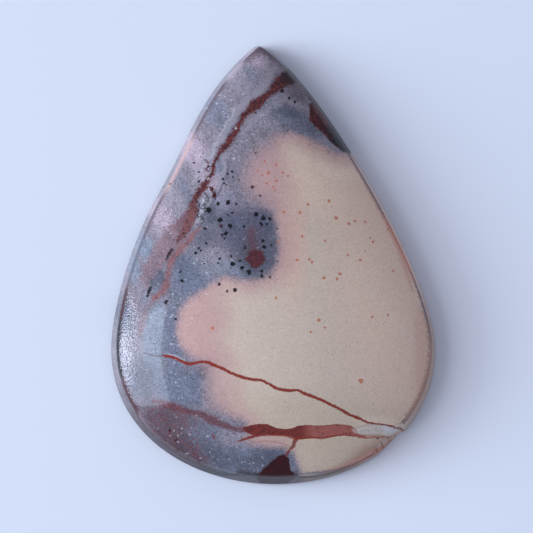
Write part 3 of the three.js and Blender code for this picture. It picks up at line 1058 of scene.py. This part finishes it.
def ribbon_field(places, path):
    """For each place: how far it lies across a ribbon, the ribbon's half-width there, and how
    far along the ribbon it is, all in millimetres."""
    field = np.zeros((len(places), 3))
    field[:, 1] = NO_RIBBON
    low = path[:, :2].min(0) - RIBBON_MARGIN
    high = path[:, :2].max(0) + RIBBON_MARGIN
    near = np.all((places > low) & (places < high), axis=1)
    spots = places[near]
    best = np.full(len(spots), np.inf)
    across = np.zeros(len(spots))
    half = np.zeros(len(spots))
    along = np.zeros(len(spots))
    gone = 0.0
    last = len(path) - 2
    for i in range(last + 1):
        start, end = path[i], path[i + 1]
        run = end[:2] - start[:2]
        length = np.hypot(*run)
        run = run / length
        to = spots - start[:2]
        forward = to @ run
        side = to[:, 0] * run[1] - to[:, 1] * run[0]
        lowest = -np.inf if i == 0 else 0.0
        highest = np.inf if i == last else length
        held = np.clip(forward, lowest, highest)
        distance = np.hypot(side, forward - held)
        overrun = np.maximum(-forward, forward - length).clip(min=0)
        measure = distance + (overrun if i in (0, last) else 0)
        better = measure < best
        share = np.clip(forward / length, 0, 1)
        width = start[2] + (end[2] - start[2]) * share
        past = overrun if i in (0, last) else 0.0
        best = np.where(better, measure, best)
        across = np.where(better, np.copysign(distance, side), across)
        half = np.where(better, width / 2 - past, half)
        along = np.where(better, gone + held, along)
        gone += length
    half -= np.maximum(0, best - path[:, 2].max() / 2 - RIBBON_REACH) * RIBBON_FALL
    field[near] = np.stack([across, half, along], axis=1)
    return field


def zone_field(places, edge):
    """How far each place lies outside a closed edge, in millimetres; negative inside."""
    edge = np.array(edge)
    best = np.full(len(places), np.inf)
    inside = np.zeros(len(places), bool)
    for start, end in zip(edge, np.roll(edge, -1, axis=0)):
        run = end - start
        to = places - start
        share = np.clip((to @ run) / (run @ run), 0, 1)
        best = np.minimum(best, np.hypot(*(to - share[:, None] * run).T))
        crosses = (start[1] > places[:, 1]) != (end[1] > places[:, 1])
        with np.errstate(divide="ignore", invalid="ignore"):
            meets = start[0] + (places[:, 1] - start[1]) / (end[1] - start[1]) * run[0]
        inside ^= crosses & (places[:, 0] < meets)
    return np.where(inside, -best, best)


def store(mesh, name, values):
    """Keeps a value for each vertex on the mesh."""
    kind = "FLOAT_VECTOR" if values.ndim == 2 else "FLOAT"
    layer = mesh.attributes.new(name, kind, "POINT")
    field = "vector" if values.ndim == 2 else "value"
    layer.data.foreach_set(field, values.astype(np.float32).ravel())


def lay_markings(mesh, settings):
    """Stores on the stone where its markings run."""
    girdle_top = settings.girdle_top / MM
    sight = Sight(mesh, girdle_top)
    points = np.empty(len(mesh.vertices) * 3)
    mesh.vertices.foreach_get("co", points)
    points = points.reshape(-1, 3) / MM
    sections = np.empty(len(mesh.vertices))
    mesh.attributes["section"].data.foreach_get("value", sections)
    rise = (settings.thickness - settings.girdle_top) / MM
    fall = np.clip(sections, 0, 1) ** settings.dome_flatness
    under_dome = girdle_top + rise * (1 - fall) ** settings.dome_shoulder
    on_back = (points[:, 2] < BACK_HEIGHT) & (sections < BEVEL_START)
    depths = np.where(on_back, under_dome, np.maximum(0, girdle_top - points[:, 2]))
    places = pattern_places(points, depths)
    store(mesh, "grain_place", np.column_stack([places, np.zeros(len(places))]))
    for name, knots in RIBBONS.items():
        path = [(*sight.place(x, y), width * MM_PER_PIXEL) for x, y, width in knots]
        store(mesh, name, ribbon_field(places, smooth_path(path)))
    for name, edge in ZONES.items():
        store(mesh, name, zone_field(places, [sight.place(x, y) for x, y in edge]))
    inverse = np.array(break_frame(settings).inverted())
    local = points * MM @ inverse[:3, :3].T + inverse[:3, 3]
    fresh = (local[:, 1] < FRESH_ABOVE * MM) & (local[:, 1] > -FRESH_BELOW * MM)
    fresh_end = (STEP_CORNER - STEP_END).length * MM * FRESH_LENGTH
    fresh &= (local[:, 0] > -FRESH_BEFORE * MM) & (local[:, 0] < fresh_end)
    store(mesh, "fresh_break", fresh.astype(float))
    return sight


# Finish of the stone.


def patch_group():
    """A soft oval patch: how strongly it covers a place."""
    tree = bpy.data.node_groups.new("Soft Patch", "ShaderNodeTree")
    face = tree.interface
    face.new_socket("Cover", in_out="OUTPUT", socket_type="NodeSocketFloat")
    for name, kind in (
        ("Place", "NodeSocketVector"),
        ("Middle", "NodeSocketVector"),
        ("Size", "NodeSocketVector"),
        ("Turn", "NodeSocketFloat"),
        ("Softness", "NodeSocketFloat"),
        ("Strength", "NodeSocketFloat"),
    ):
        face.new_socket(name, in_out="INPUT", socket_type=kind)
    sketch = Sketch(tree)
    given = sketch.add("NodeGroupInput").outputs
    away = sketch.vector("SUBTRACT", given["Place"], given["Middle"])
    turn = {"Vector": away, "Angle": given["Turn"], "Axis": (0.0, 0.0, 1.0)}
    away = sketch.add("ShaderNodeVectorRotate", turn, rotation_type="AXIS_ANGLE").outputs[0]
    reach = sketch.vector("LENGTH", sketch.vector("DIVIDE", away, given["Size"]))
    outer = sketch.math("ADD", 1.0, given["Softness"])
    inner = sketch.math("SUBTRACT", 1.0, given["Softness"])
    cover = sketch.ramp(reach, outer, inner, 0.0, given["Strength"])
    sketch.add("NodeGroupOutput", {"Cover": cover})
    return tree


class Jasper:
    """Builds the stone's material over its own coordinates, in millimetres. The scales of its
    noises are per millimetre."""

    def __init__(self, material, sight, colours):
        self.sketch = Sketch(material.node_tree)
        self.sight = sight
        self.colours = colours
        self.patch = patch_group()
        sketch = self.sketch
        coordinates = sketch.add("ShaderNodeTexCoord").outputs["Object"]
        self.solid = sketch.scaled(coordinates, 1 / MM)
        self.place = self.attribute("grain_place").outputs["Vector"]
        broad = sketch.shifted(self.place, 0.35, 0.4)
        self.wandering = sketch.shifted(broad, 1.6, 0.35)
        self.ragged = sketch.shifted(self.place, 5.0, SPECK_RAGGEDNESS)
        self.coarse = sketch.noise(self.solid, 1.3, 3.0)
        self.fine = sketch.noise(self.solid, 5.0, 3.0, 0.6)
        self.grit = sketch.noise(self.solid, 8.0, 3.0, 0.7)
        self.blotch = sketch.noise(self.solid, 3.0, 3.0, 0.65)
        self.edge = sketch.math("MULTIPLY_ADD", self.grit, 0.7, self.fine)
        self.height = sketch.parts(self.solid)[2]

    def grains(self, scale):
        """Two random values from 0 to 1 for each grain of the stone."""
        cells = self.sketch.add("ShaderNodeTexVoronoi", {"Vector": self.solid, "Scale": scale})
        return self.sketch.parts(cells.outputs["Color"])[:2]

    def streaks(self, turn, across, along):
        """Noise drawn out into bands that run at a turn from the stone's length."""
        laid = {"Vector": self.place, "Rotation": (0.0, 0.0, math.radians(turn))}
        laid = self.sketch.add("ShaderNodeMapping", laid, vector_type="POINT").outputs[0]
        laid = self.sketch.vector("MULTIPLY", laid, (across, along, 0.0))
        return self.sketch.noise(laid, 1.0, 3.0, 0.6)

    def attribute(self, name):
        return self.sketch.add(
            "ShaderNodeAttribute", attribute_type="GEOMETRY", attribute_name=name
        )

    def spot(self, x, y):
        place = self.sight.place(x, y)
        return (float(place[0]), float(place[1]), 0.0)

    def patch_cover(self, x, y, wide, tall, turn, softness, strength):
        """How strongly a soft patch covers a place."""
        sketch = self.sketch
        node = sketch.add("ShaderNodeGroup", node_tree=self.patch)
        sketch.feed(node.inputs["Place"], self.wandering)
        for name, value in (
            ("Middle", self.spot(x, y)),
            ("Size", (wide * MM_PER_PIXEL, tall * MM_PER_PIXEL, 1.0)),
            ("Turn", math.radians(turn)),
            ("Softness", softness),
            ("Strength", strength),
        ):
            sketch.feed(node.inputs[name], value)
        return node.outputs["Cover"]

    def painted(self, ground, patches):
        """Lays soft patches over a ground colour."""
        for *shape, colour in patches:
            ground = self.sketch.mix(self.patch_cover(*shape), ground, self.colours[colour])
        return ground

    def widest(self, patches):
        """The strongest cover of several patches."""
        covers = [self.patch_cover(*shape) for shape in patches]
        widest = covers[0]
        for cover in covers[1:]:
            widest = self.sketch.math("MAXIMUM", widest, cover)
        return widest

    def tinted(self, ground, colour, value, low, high, strength=1.0, least=0.0):
        """Lays a colour over a ground, more strongly as a value goes from low to high."""
        cover = self.sketch.ramp(value, low, high, least, strength)
        return self.sketch.mix(cover, ground, self.colours[colour])

    def ribbon(self, name):
        """How strongly a ribbon covers a place, how far inside its edge the place is, and how
        far along it."""
        sketch = self.sketch
        softness, jag, sway, strength = RIBBON_EDGES[name]
        across, half, along = sketch.parts(self.attribute(name).outputs["Vector"])
        swayed = sketch.math("MULTIPLY_ADD", self.coarse, sway * 2, across)
        half = sketch.math("MULTIPLY_ADD", self.edge, jag * 2, half)
        depth = sketch.math("SUBTRACT", half, sketch.math("ABSOLUTE", swayed))
        cover = sketch.ramp(depth, -softness, softness, 0.0, strength)
        return cover, depth, along

    def lined(self, ground, colour, *names, lift=None):
        """Lays ribbons of a colour over a ground, grained by a lift if there is one."""
        for name in names:
            cover, _, _ = self.ribbon(name)
            line = self.colours[colour]
            if lift is not None:
                line = self.sketch.vector("MULTIPLY", line, lift)
            ground = self.sketch.mix(cover, ground, line)
        return ground

    def zone(self, name):
        """How strongly a zone covers a place, and how far outside it the place is, which is
        negative inside."""
        sketch = self.sketch
        outer, inner, jag = ZONE_EDGES[name]
        distance = self.attribute(name).outputs["Fac"]
        distance = sketch.math("MULTIPLY_ADD", self.fine, jag * 2, distance)
        distance = sketch.math("MULTIPLY_ADD", self.coarse, jag * 2, distance)
        return sketch.ramp(distance, outer, inner), distance

    def specks(self, spots):
        """How strongly any of the specks covers a place."""
        sketch = self.sketch
        nearest = 1.0
        for x, y, width in spots:
            away = sketch.vector("DISTANCE", self.ragged, self.spot(x, y))
            away = sketch.math("SUBTRACT", away, width / 2 * MM_PER_PIXEL)
            nearest = away if nearest == 1.0 else sketch.math("MINIMUM", nearest, away)
        return sketch.ramp(nearest, SPECK_EDGE, -SPECK_EDGE)


def jasper_material(material, sight, colours):
    """Fills the stone's material with its colours, veins, specks, grain and polish."""
    material.use_nodes = True
    material.node_tree.nodes.clear()
    jasper = Jasper(material, sight, colours)
    sketch = jasper.sketch
    over = sketch.mix

    # The two grounds: grey with its patches, and cream with a pink edge.
    half_pale = over(0.4, colours["lavender"], colours["pale_grey"])
    grey = over(sketch.ramp(jasper.coarse, -0.25, 0.25), colours["lavender"], half_pale)
    grey = jasper.painted(grey, GREY_PATCHES)
    cream = jasper.painted(colours["cream"], CREAM_PATCHES)
    _, outside = jasper.zone("cream_zone")
    blend = sketch.math("MULTIPLY_ADD", jasper.widest(SOFT_BORDERS), SOFT_BORDER, BORDER)
    cover = sketch.ramp(outside, -2.4, -0.2, 0.0, 0.75)
    bare = jasper.patch_cover(*BARE_BORDER)
    cover = sketch.math("MULTIPLY", cover, sketch.math("SUBTRACT", 1.0, bare))
    cream = over(cover, cream, colours["pink"])
    inner = sketch.math("MULTIPLY", blend, -2.2)
    cream = jasper.tinted(cream, "mauve", outside, inner, 0.2, 0.45)
    cover = sketch.ramp(outside, blend, sketch.math("MULTIPLY", blend, -1.0))
    ground = over(cover, grey, cream)

    # Grain: granular light and dark in the grey, and fine sugar in the cream.
    grain, _ = jasper.grains(GRAIN_SCALE)
    strong = sketch.ramp(outside, -1.0, 0.6, CREAM_LIFT, 1.0)
    bands = sketch.math("MULTIPLY", jasper.streaks(-30, 1.1, 0.25), sketch.ramp(outside, -0.5, 0.5))
    lift = sketch.math("MULTIPLY", jasper.grit, GRIT_LIFT)
    lift = sketch.math("MULTIPLY_ADD", sketch.math("SUBTRACT", grain, 0.5), GRAIN_LIFT, lift)
    lift = sketch.math("MULTIPLY_ADD", jasper.blotch, BLOTCH_LIFT, lift)
    lift = sketch.math("MULTIPLY", lift, strong)
    lift = sketch.math("MULTIPLY_ADD", bands, BAND_LIFT, lift)
    lift = sketch.math("ADD", lift, 1.0)
    lift = sketch.math("MAXIMUM", lift, LEAST_LIFT)
    lift = sketch.add("ShaderNodeCombineXYZ", {0: lift, 1: lift, 2: lift}).outputs[0]
    cover = sketch.math("MULTIPLY", jasper.widest(MOTTLED), sketch.ramp(jasper.blotch, 0.0, 0.12))
    ground = over(sketch.math("MULTIPLY", cover, MOTTLED_STRENGTH), ground, colours["wine"])
    ground = sketch.vector("MULTIPLY", ground, lift)

    # Painted glints of light on grains of quartz, thickest in the sparkling patches, and dark grains.
    glint, dark_grain = jasper.grains(GLINT_SCALE)
    least = sketch.math("MULTIPLY_ADD", jasper.widest(SPARKLING), -SPARKLE, GLINT_LEAST)
    cover = sketch.math("DIVIDE", sketch.math("SUBTRACT", glint, least), GLINT_EDGE, clamp=True)
    cover = sketch.math("MULTIPLY", cover, sketch.ramp(outside, -0.5, 0.5, 0.2, 0.5))
    ground = over(cover, ground, colours["white"])
    cover = sketch.ramp(dark_grain, 0.03, 0.015)
    cover = sketch.math("MULTIPLY", cover, sketch.ramp(outside, -0.5, 0.5, 0.15, 0.55))
    ground = over(cover, ground, colours["maroon"])

    # Pale bands beside the rust vein.
    ground = jasper.lined(ground, "pale_grey", "pale_band", "shore", "right_band")
    ground = jasper.lined(ground, "white", "pale_edge")
    ground = jasper.lined(ground, "dark_slate", "band_edge")

    # The rust vein with its fan, its red branches and the cracks in it.
    cover, _, along = jasper.ribbon("fan")
    cover = sketch.math("MULTIPLY", cover, sketch.ramp(along, 7.0, 11.0, 1.0, 0.3))
    mottled = jasper.tinted(colours["dusky_red"], "salmon", jasper.blotch, 0.0, 0.15, 0.6)
    mottled = jasper.tinted(mottled, "wine", along, 4.4, 1.0, 0.8)
    ground = over(cover, ground, sketch.vector("MULTIPLY", mottled, lift))
    cover, _, _ = jasper.ribbon("vug")
    crystals = jasper.tinted(colours["pale_grey"], "white", grain, 0.45, 0.95, 0.5)
    crystals = jasper.tinted(crystals, "dark_slate", grain, 0.34, 0.26, 0.8)
    ground = over(cover, ground, crystals)
    cover, depth, along = jasper.ribbon("rust_vein")
    ground = jasper.tinted(ground, "maroon", depth, -0.3, 0.05, 0.5)
    mottled = jasper.tinted(colours["rust"], "brick", jasper.fine, -0.05, 0.14, 0.9)
    mottled = jasper.tinted(mottled, "salmon", along, 16.5, 19.5, 0.6)
    mottled = over(jasper.patch_cover(*BLACK_VEIN_END), mottled, colours["near_black"])
    mottled = jasper.tinted(mottled, "near_black", grain, 0.2, 0.14, 0.7)
    ground = over(cover, ground, mottled)
    ground = jasper.lined(ground, "salmon", "red_branch", "faded_branch", lift=lift)
    ground = jasper.lined(ground, "near_black", "crack_high", "crack_low")
    ground = jasper.lined(ground, "rust", "vein_dashes", "side_dashes")
    ground = jasper.lined(ground, "near_black", "vug_hair", "vug_hair_two")

    # The dark spot near the middle.
    ground = jasper.lined(ground, "wine", "spot_streak")
    cover, _ = jasper.zone("spot_core")
    core = over(0.5, colours["crimson"], colours["wine"])
    ground = over(cover, ground, sketch.vector("MULTIPLY", core, lift))

    # Lines near the rim, the line round the girdle's top, partly painted shade, and painted foot
    # shade.
    ground = jasper.lined(ground, "wine", "rim_foot")
    ground = jasper.lined(ground, "orange", "rim_orange", "shoulder_line")
    ground = jasper.lined(ground, "spot_blue", "foot_line")
    section = jasper.attribute("section").outputs["Fac"]
    low_rim = jasper.widest(LOW_RIMS)
    above = sketch.math("ADD", sketch.math("SUBTRACT", section, DOME_START), low_rim)
    away = sketch.math("ABSOLUTE", above)
    away = sketch.math("MULTIPLY_ADD", jasper.edge, 0.12, away)
    rim = jasper.painted(colours["maroon"], RIM_COLOURS_AND_SHADE)
    fresh = jasper.attribute("fresh_break").outputs["Fac"]
    cover = sketch.ramp(away, 0.16, 0.07, 0.0, 0.88)
    cover = sketch.math("MULTIPLY", cover, sketch.math("SUBTRACT", 1.0, fresh))
    ground = over(cover, ground, rim)
    # Painted shade: a dark line along the girdle's foot, where it meets the floor.
    low = sketch.ramp(section, GIRDLE_START + 0.25, GIRDLE_START + 0.05)
    foot = sketch.math("MULTIPLY", low, sketch.ramp(section, BEVEL_START, BEVEL_START + 0.5))
    ground = over(sketch.math("MULTIPLY", foot, 0.5), ground, colours["near_black"])

    # The dark corner at the upper right, with painted shade at its far edge, and the crimson patch at
    # the foot.
    cover, _ = jasper.zone("dark_corner")
    corner = jasper.tinted(colours["crimson"], "brick", jasper.blotch, 0.0, 0.12)
    corner = over(jasper.patch_cover(*CORNER_SHADE), corner, colours["near_black"])
    ground = over(cover, ground, corner)
    cover, _ = jasper.zone("crimson_patch")
    patch = jasper.tinted(colours["crimson"], "near_black", jasper.blotch, 0.0, 0.15, 0.0, 0.3)
    ground = over(cover, ground, sketch.vector("MULTIPLY", patch, lift))

    # The brick vein that crosses the foot, and its branches.
    ground = jasper.lined(ground, "wine", "lead_in", lift=lift)
    ground = jasper.lined(ground, "brick", "foot_threads", "brick_tine", "red_dash", "brick_branch")
    cover, depth, along = jasper.ribbon("brick_vein")
    brick = jasper.tinted(colours["brick"], "light_brick", along, 5.6, 7.2)
    hatching = sketch.ramp(jasper.streaks(62, 3.0, 0.5), 0.0, 0.08, 0.0, 0.6)
    hatching = sketch.math("MULTIPLY", hatching, sketch.ramp(along, 6.4, 4.4, 0.15, 1.0))
    brick = over(hatching, brick, colours["rust"])
    brick = jasper.tinted(brick, "rust", grain, 0.1, 0.06, 0.5)
    brick = jasper.tinted(brick, "brick", depth, 0.14, 0.03, 0.7)
    ground = over(cover, ground, brick)
    ground = jasper.lined(ground, "red_thread", "brick_foot")

    # The milky quartz at the end of that vein.
    cover, past_edge = jasper.zone("quartz_patch")
    quartz = jasper.tinted(colours["milky_quartz"], "pale_grey", jasper.blotch, 0.0, 0.12, 0.35)
    quartz = over(jasper.patch_cover(*CLEAR_QUARTZ), quartz, colours["white"])
    quartz = jasper.tinted(quartz, "tan", past_edge, -0.2, 0.0, 0.5)
    ground = over(cover, ground, quartz)
    ground = jasper.lined(ground, "light_brick", "quartz_rim", "quartz_foot")

    # Fine cracks, and the red thread over them all.
    ground = jasper.lined(ground, "white", "healed_crack", "white_hair")
    ground = jasper.lined(ground, "maroon", "dark_hair")
    cover, depth, _ = jasper.ribbon("hairline")
    thread = jasper.tinted(colours["brick"], "red_thread", depth, 0.0, 0.08)
    ground = over(cover, ground, thread)

    # Specks on all but the back, where they would only repeat the front's.
    front = sketch.ramp(jasper.height, 0.05, 0.4)
    for colour, strength in SPECK_STRENGTHS:
        cover = sketch.math("MULTIPLY", jasper.specks(SPECKS[colour]), front)
        cover = sketch.math("MULTIPLY", cover, strength)
        ground = over(cover, ground, colours[colour])

    # Painted shade on the girdle, darkest at the foot and at the upper right.
    low = sketch.ramp(section, DOME_START - 0.02, DOME_START - 0.14)
    side = sketch.math("MULTIPLY", low, jasper.widest(SHADED_GIRDLE))
    side = sketch.math("MULTIPLY", side, sketch.ramp(section, BEVEL_START, BEVEL_START + 0.5))
    ground = over(sketch.math("MULTIPLY", side, 0.9), ground, colours["near_black"])

    # Polish: duller on the back, the girdle and the broken face, with fine pits in the grey.
    rough = sketch.math("MULTIPLY_ADD", jasper.fine, 0.04, POLISH_ROUGHNESS)
    rough = sketch.math("ADD", rough, sketch.ramp(jasper.height, 0.4, 0.0, 0.0, BACK_ROUGHNESS))
    low = sketch.ramp(section, DOME_START, DOME_START - 0.1, 0.0, GIRDLE_ROUGHNESS)
    rough = sketch.math("ADD", rough, low)
    broken = sketch.math("MULTIPLY", fresh, BREAK_ROUGHNESS)
    rough = sketch.math("ADD", rough, broken, clamp=True)
    pitting = sketch.math("MULTIPLY_ADD", jasper.widest(PITTED), PITTED_DEPTH, 1.0)
    pitting = sketch.math("MULTIPLY", pitting, sketch.ramp(outside, -0.5, 1.0, 0.15, 1.0))
    pits = sketch.math("MULTIPLY", sketch.noise(jasper.solid, PIT_SCALE, 1.0), pitting)
    bump = {"Height": pits, "Distance": PIT_DEPTH * MM, "Strength": 1.0}
    bump = sketch.add("ShaderNodeBump", bump).outputs["Normal"]
    shader = sketch.add("ShaderNodeBsdfPrincipled", {
        "Base Color": ground, "Roughness": rough, "IOR": REFRACTION,
        "Specular IOR Level": SPECULAR_LEVEL, "Normal": bump,
    })
    sketch.add("ShaderNodeOutputMaterial", {"Surface": shader.outputs[0]})


class StoneSettings(bpy.types.PropertyGroup):
    """Sizes of the stone."""

    points_around: bpy.props.IntProperty(
        name="Points Around", description="Points round each level of the stone", default=480
    )
    back_levels: bpy.props.IntProperty(
        name="Back Levels", description="Levels from the back's middle to its bevel", default=36
    )
    bevel_levels: bpy.props.IntProperty(
        name="Bevel Levels", description="Levels up the bevel round the back", default=6
    )
    girdle_levels: bpy.props.IntProperty(
        name="Girdle Levels", description="Levels up the girdle", default=14
    )
    dome_levels: bpy.props.IntProperty(
        name="Dome Levels", description="Levels from the girdle's top to the crown", default=118
    )
    thickness: bpy.props.FloatProperty(
        name="Thickness", description="Height of the crown over the back",
        default=6.5 * MM, unit="LENGTH", precision=5,
    )
    back_bevel: bpy.props.FloatProperty(
        name="Back Bevel", description="Height and width of the bevel round the back",
        default=0.45 * MM, unit="LENGTH", precision=5,
    )
    girdle_top: bpy.props.FloatProperty(
        name="Girdle Top", description="Height of the edge where the dome starts",
        default=2.4 * MM, unit="LENGTH", precision=5,
    )
    girdle_lean: bpy.props.FloatProperty(
        name="Girdle Lean", description="How far the girdle leans in by its top",
        default=0.58 * MM, unit="LENGTH", precision=5,
    )
    crown: bpy.props.FloatVectorProperty(
        name="Crown", description="Where the dome is highest, in plan",
        default=(0.0, -5 * MM, 0.0), subtype="TRANSLATION", precision=5,
    )
    dome_flatness: bpy.props.FloatProperty(
        name="Dome Flatness", description="Higher values keep more of the dome's top level",
        default=2.4,
    )
    dome_shoulder: bpy.props.FloatProperty(
        name="Dome Shoulder", description="Lower values make the dome's shoulder steeper",
        default=0.7,
    )
    ridge_rounding: bpy.props.FloatProperty(
        name="Ridge Rounding", description="How far round the corners are averaged at the crown",
        default=10.66 * MM, unit="LENGTH", precision=5,
    )
    ridge_rounding_start: bpy.props.FloatProperty(
        name="Ridge Rounding Start", description="How fast that averaging sets in",
        default=2.95 * MM, unit="LENGTH", precision=5,
    )
    edge_softness: bpy.props.FloatProperty(
        name="Edge Softness", description="How far the girdle's edges are worn", default=0.8,
        subtype="FACTOR",
    )
    hand_wobble: bpy.props.FloatProperty(
        name="Hand Wobble", description="Unevenness of the hand-polished dome",
        default=0.03 * MM, unit="LENGTH", precision=5,
    )
    wobble_seed: bpy.props.FloatProperty(
        name="Wobble Seed", description="Fixed start of the unevenness", default=3.0
    )


ColourSettings = type(
    "ColourSettings",
    (bpy.types.PropertyGroup,),
    {
        "__doc__": "Colours of the stone.",
        "__annotations__": {
            key: bpy.props.FloatVectorProperty(
                name=key.replace("_", " ").title(),
                description=note,
                default=colour,
                subtype="COLOR",
                min=0.0,
                max=1.0,
            )
            for key, (colour, note) in COLOURS.items()
        },
    },
)


class StageSettings(bpy.types.PropertyGroup):
    """The floor and the light."""

    floor_side: bpy.props.FloatProperty(
        name="Floor Side", description="Length of the floor's sides", default=4.0, unit="LENGTH"
    )
    floor_colour: bpy.props.FloatVectorProperty(
        name="Floor Colour", description="Colour of the floor", default=(0.86, 0.86, 0.86),
        subtype="COLOR",
    )
    window_distance: bpy.props.FloatProperty(
        name="Window Distance", description="From the stone to the middle of the window",
        default=0.9, unit="LENGTH",
    )
    window_size: bpy.props.FloatVectorProperty(
        name="Window Size", description="Width and height of the window",
        default=(0.6, 0.86), size=2, unit="LENGTH",
    )
    window_elevation: bpy.props.FloatProperty(
        name="Window Elevation", description="Height of the window over the floor, as an angle",
        default=math.radians(29.5), subtype="ANGLE",
    )
    window_turn: bpy.props.FloatProperty(
        name="Window Turn", description="Direction of the window, round from +X",
        default=math.radians(188), subtype="ANGLE",
    )
    window_power: bpy.props.FloatProperty(
        name="Window Power", description="Power of the window's light", default=6.4, unit="POWER"
    )
    pane_size: bpy.props.FloatVectorProperty(
        name="Bright Pane Size", description="Width and height of the bright low pane",
        default=(0.46, 0.36), size=2, unit="LENGTH",
    )
    pane_elevation: bpy.props.FloatProperty(
        name="Bright Pane Elevation", description="Height of the bright pane, as an angle",
        default=math.radians(17), subtype="ANGLE",
    )
    pane_turn: bpy.props.FloatProperty(
        name="Bright Pane Turn", description="Direction of the bright pane, round from +X",
        default=math.radians(178), subtype="ANGLE",
    )
    pane_power: bpy.props.FloatProperty(
        name="Bright Pane Power", description="Power of the bright pane's light", default=4.9,
        unit="POWER",
    )
    window_colour: bpy.props.FloatVectorProperty(
        name="Window Colour", description="Colour of the window's light",
        default=(0.83, 0.96, 1.2), subtype="COLOR", max=2.0,
    )
    room_colour: bpy.props.FloatVectorProperty(
        name="Room Colour", description="Colour of the light from all round",
        default=(0.88, 0.96, 1.30), subtype="COLOR", max=2.0,
    )
    room_strength: bpy.props.FloatProperty(
        name="Room Strength", description="Strength of the light from all round", default=0.375
    )


class JASPER_OT_stone(bpy.types.Operator):
    """Make the stone"""

    bl_idname = "jasper.stone"
    bl_label = "Stone"

    def execute(self, context):
        settings = context.scene.jasper_stone
        chosen = context.scene.jasper_colours
        colours = {key: tuple(getattr(chosen, key)) for key in COLOURS}
        noise.seed_set(WANDER_SEED)
        material = bpy.data.materials.new("porcelain_jasper")
        whole = stone_body(settings, material)
        mesh = broken_stone(whole, broken_edge(settings, material))
        sight = lay_markings(mesh, settings)
        jasper_material(material, sight, colours)
        piece = new_object("jasper_stone", mesh)
        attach(piece, "root")
        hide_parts("cabochon")
        return {"FINISHED"}


class JASPER_OT_stage(bpy.types.Operator):
    """Make the floor, the lights and the camera"""

    bl_idname = "jasper.stage"
    bl_label = "Stage"

    def execute(self, context):
        settings = context.scene.jasper_stage
        scene = context.scene

        half = settings.floor_side / 2
        mesh = bpy.data.meshes.new("floor")
        corners = [(-half, -half, 0), (half, -half, 0), (half, half, 0), (-half, half, 0)]
        mesh.from_pydata(corners, [], [(0, 1, 2, 3)])
        paper = bpy.data.materials.new("pale_paper")
        paper.use_nodes = True
        surface = paper.node_tree.nodes["Principled BSDF"]
        surface.inputs["Base Color"].default_value = (*settings.floor_colour, 1)
        surface.inputs["Roughness"].default_value = FLOOR_ROUGHNESS
        surface.inputs["Specular IOR Level"].default_value = FLOOR_SPECULAR_LEVEL
        mesh.materials.append(paper)
        new_object("floor", mesh)

        for name, size, elevation, turn, power in (
            (
                "window", settings.window_size, settings.window_elevation,
                settings.window_turn, settings.window_power,
            ),
            (
                "bright_pane", settings.pane_size, settings.pane_elevation,
                settings.pane_turn, settings.pane_power,
            ),
        ):
            light = bpy.data.lights.new(name, "AREA")
            light.shape = "RECTANGLE"
            light.size, light.size_y = size
            light.energy = power
            light.color = settings.window_colour
            lamp = new_object(name, light)
            flat = Vector((math.cos(turn), math.sin(turn), 0)) * math.cos(elevation)
            toward = flat + Vector((0, 0, math.sin(elevation)))
            lamp.location = toward * settings.window_distance
            lamp.rotation_euler = toward.to_track_quat("Z", "Y").to_euler()

        world = bpy.data.worlds.new("room")
        world.use_nodes = True
        background = world.node_tree.nodes["Background"]
        background.inputs["Color"].default_value = (*settings.room_colour, 1)
        background.inputs["Strength"].default_value = settings.room_strength
        scene.world = world
        scene.view_settings.view_transform = "Standard"

        lens = bpy.data.cameras.new("camera")
        lens.sensor_width = SENSOR_WIDTH
        lens.lens = SENSOR_WIDTH * CAMERA_DISTANCE / (IMAGE_SIDE * MM_PER_PIXEL)
        lens.clip_start = CLIP_START
        lens.clip_end = CLIP_END
        camera = new_object("camera", lens)
        camera.location = (CAMERA_TARGET + CAMERA_DIRECTION * CAMERA_DISTANCE) * MM
        right, up = camera_axes()
        turn = Matrix((right, up, CAMERA_DIRECTION)).transposed()
        camera.rotation_euler = turn.to_euler()
        scene.camera = camera
        return {"FINISHED"}


class JASPER_PT_panel(bpy.types.Panel):
    """Lists what makes the stone and its stage"""

    bl_idname = "JASPER_PT_panel"
    bl_label = "Jasper Cabochon"
    bl_space_type = "VIEW_3D"
    bl_region_type = "UI"
    bl_category = "Jasper"

    def draw(self, context):
        for title, settings, operator in (
            ("Stone", context.scene.jasper_stone, JASPER_OT_stone.bl_idname),
            ("Colours", context.scene.jasper_colours, None),
            ("Stage", context.scene.jasper_stage, JASPER_OT_stage.bl_idname),
        ):
            box = self.layout.box()
            box.label(text=title)
            for name in settings.bl_rna.properties.keys():
                if name not in {"rna_type", "name"}:
                    box.prop(settings, name)
            if operator:
                box.operator(operator)


CLASSES = (
    StoneSettings,
    ColourSettings,
    StageSettings,
    JASPER_OT_stone,
    JASPER_OT_stage,
    JASPER_PT_panel,
)


def register():
    for item in CLASSES:
        bpy.utils.register_class(item)
    bpy.types.Scene.jasper_stone = bpy.props.PointerProperty(type=StoneSettings)
    bpy.types.Scene.jasper_colours = bpy.props.PointerProperty(type=ColourSettings)
    bpy.types.Scene.jasper_stage = bpy.props.PointerProperty(type=StageSettings)


def unregister():
    del bpy.types.Scene.jasper_stage
    del bpy.types.Scene.jasper_colours
    del bpy.types.Scene.jasper_stone
    for item in reversed(CLASSES):
        bpy.utils.unregister_class(item)


def main():
    register()
    bpy.ops.jasper.stone()
    bpy.ops.jasper.stage()


if __name__ == "__main__":
    main()
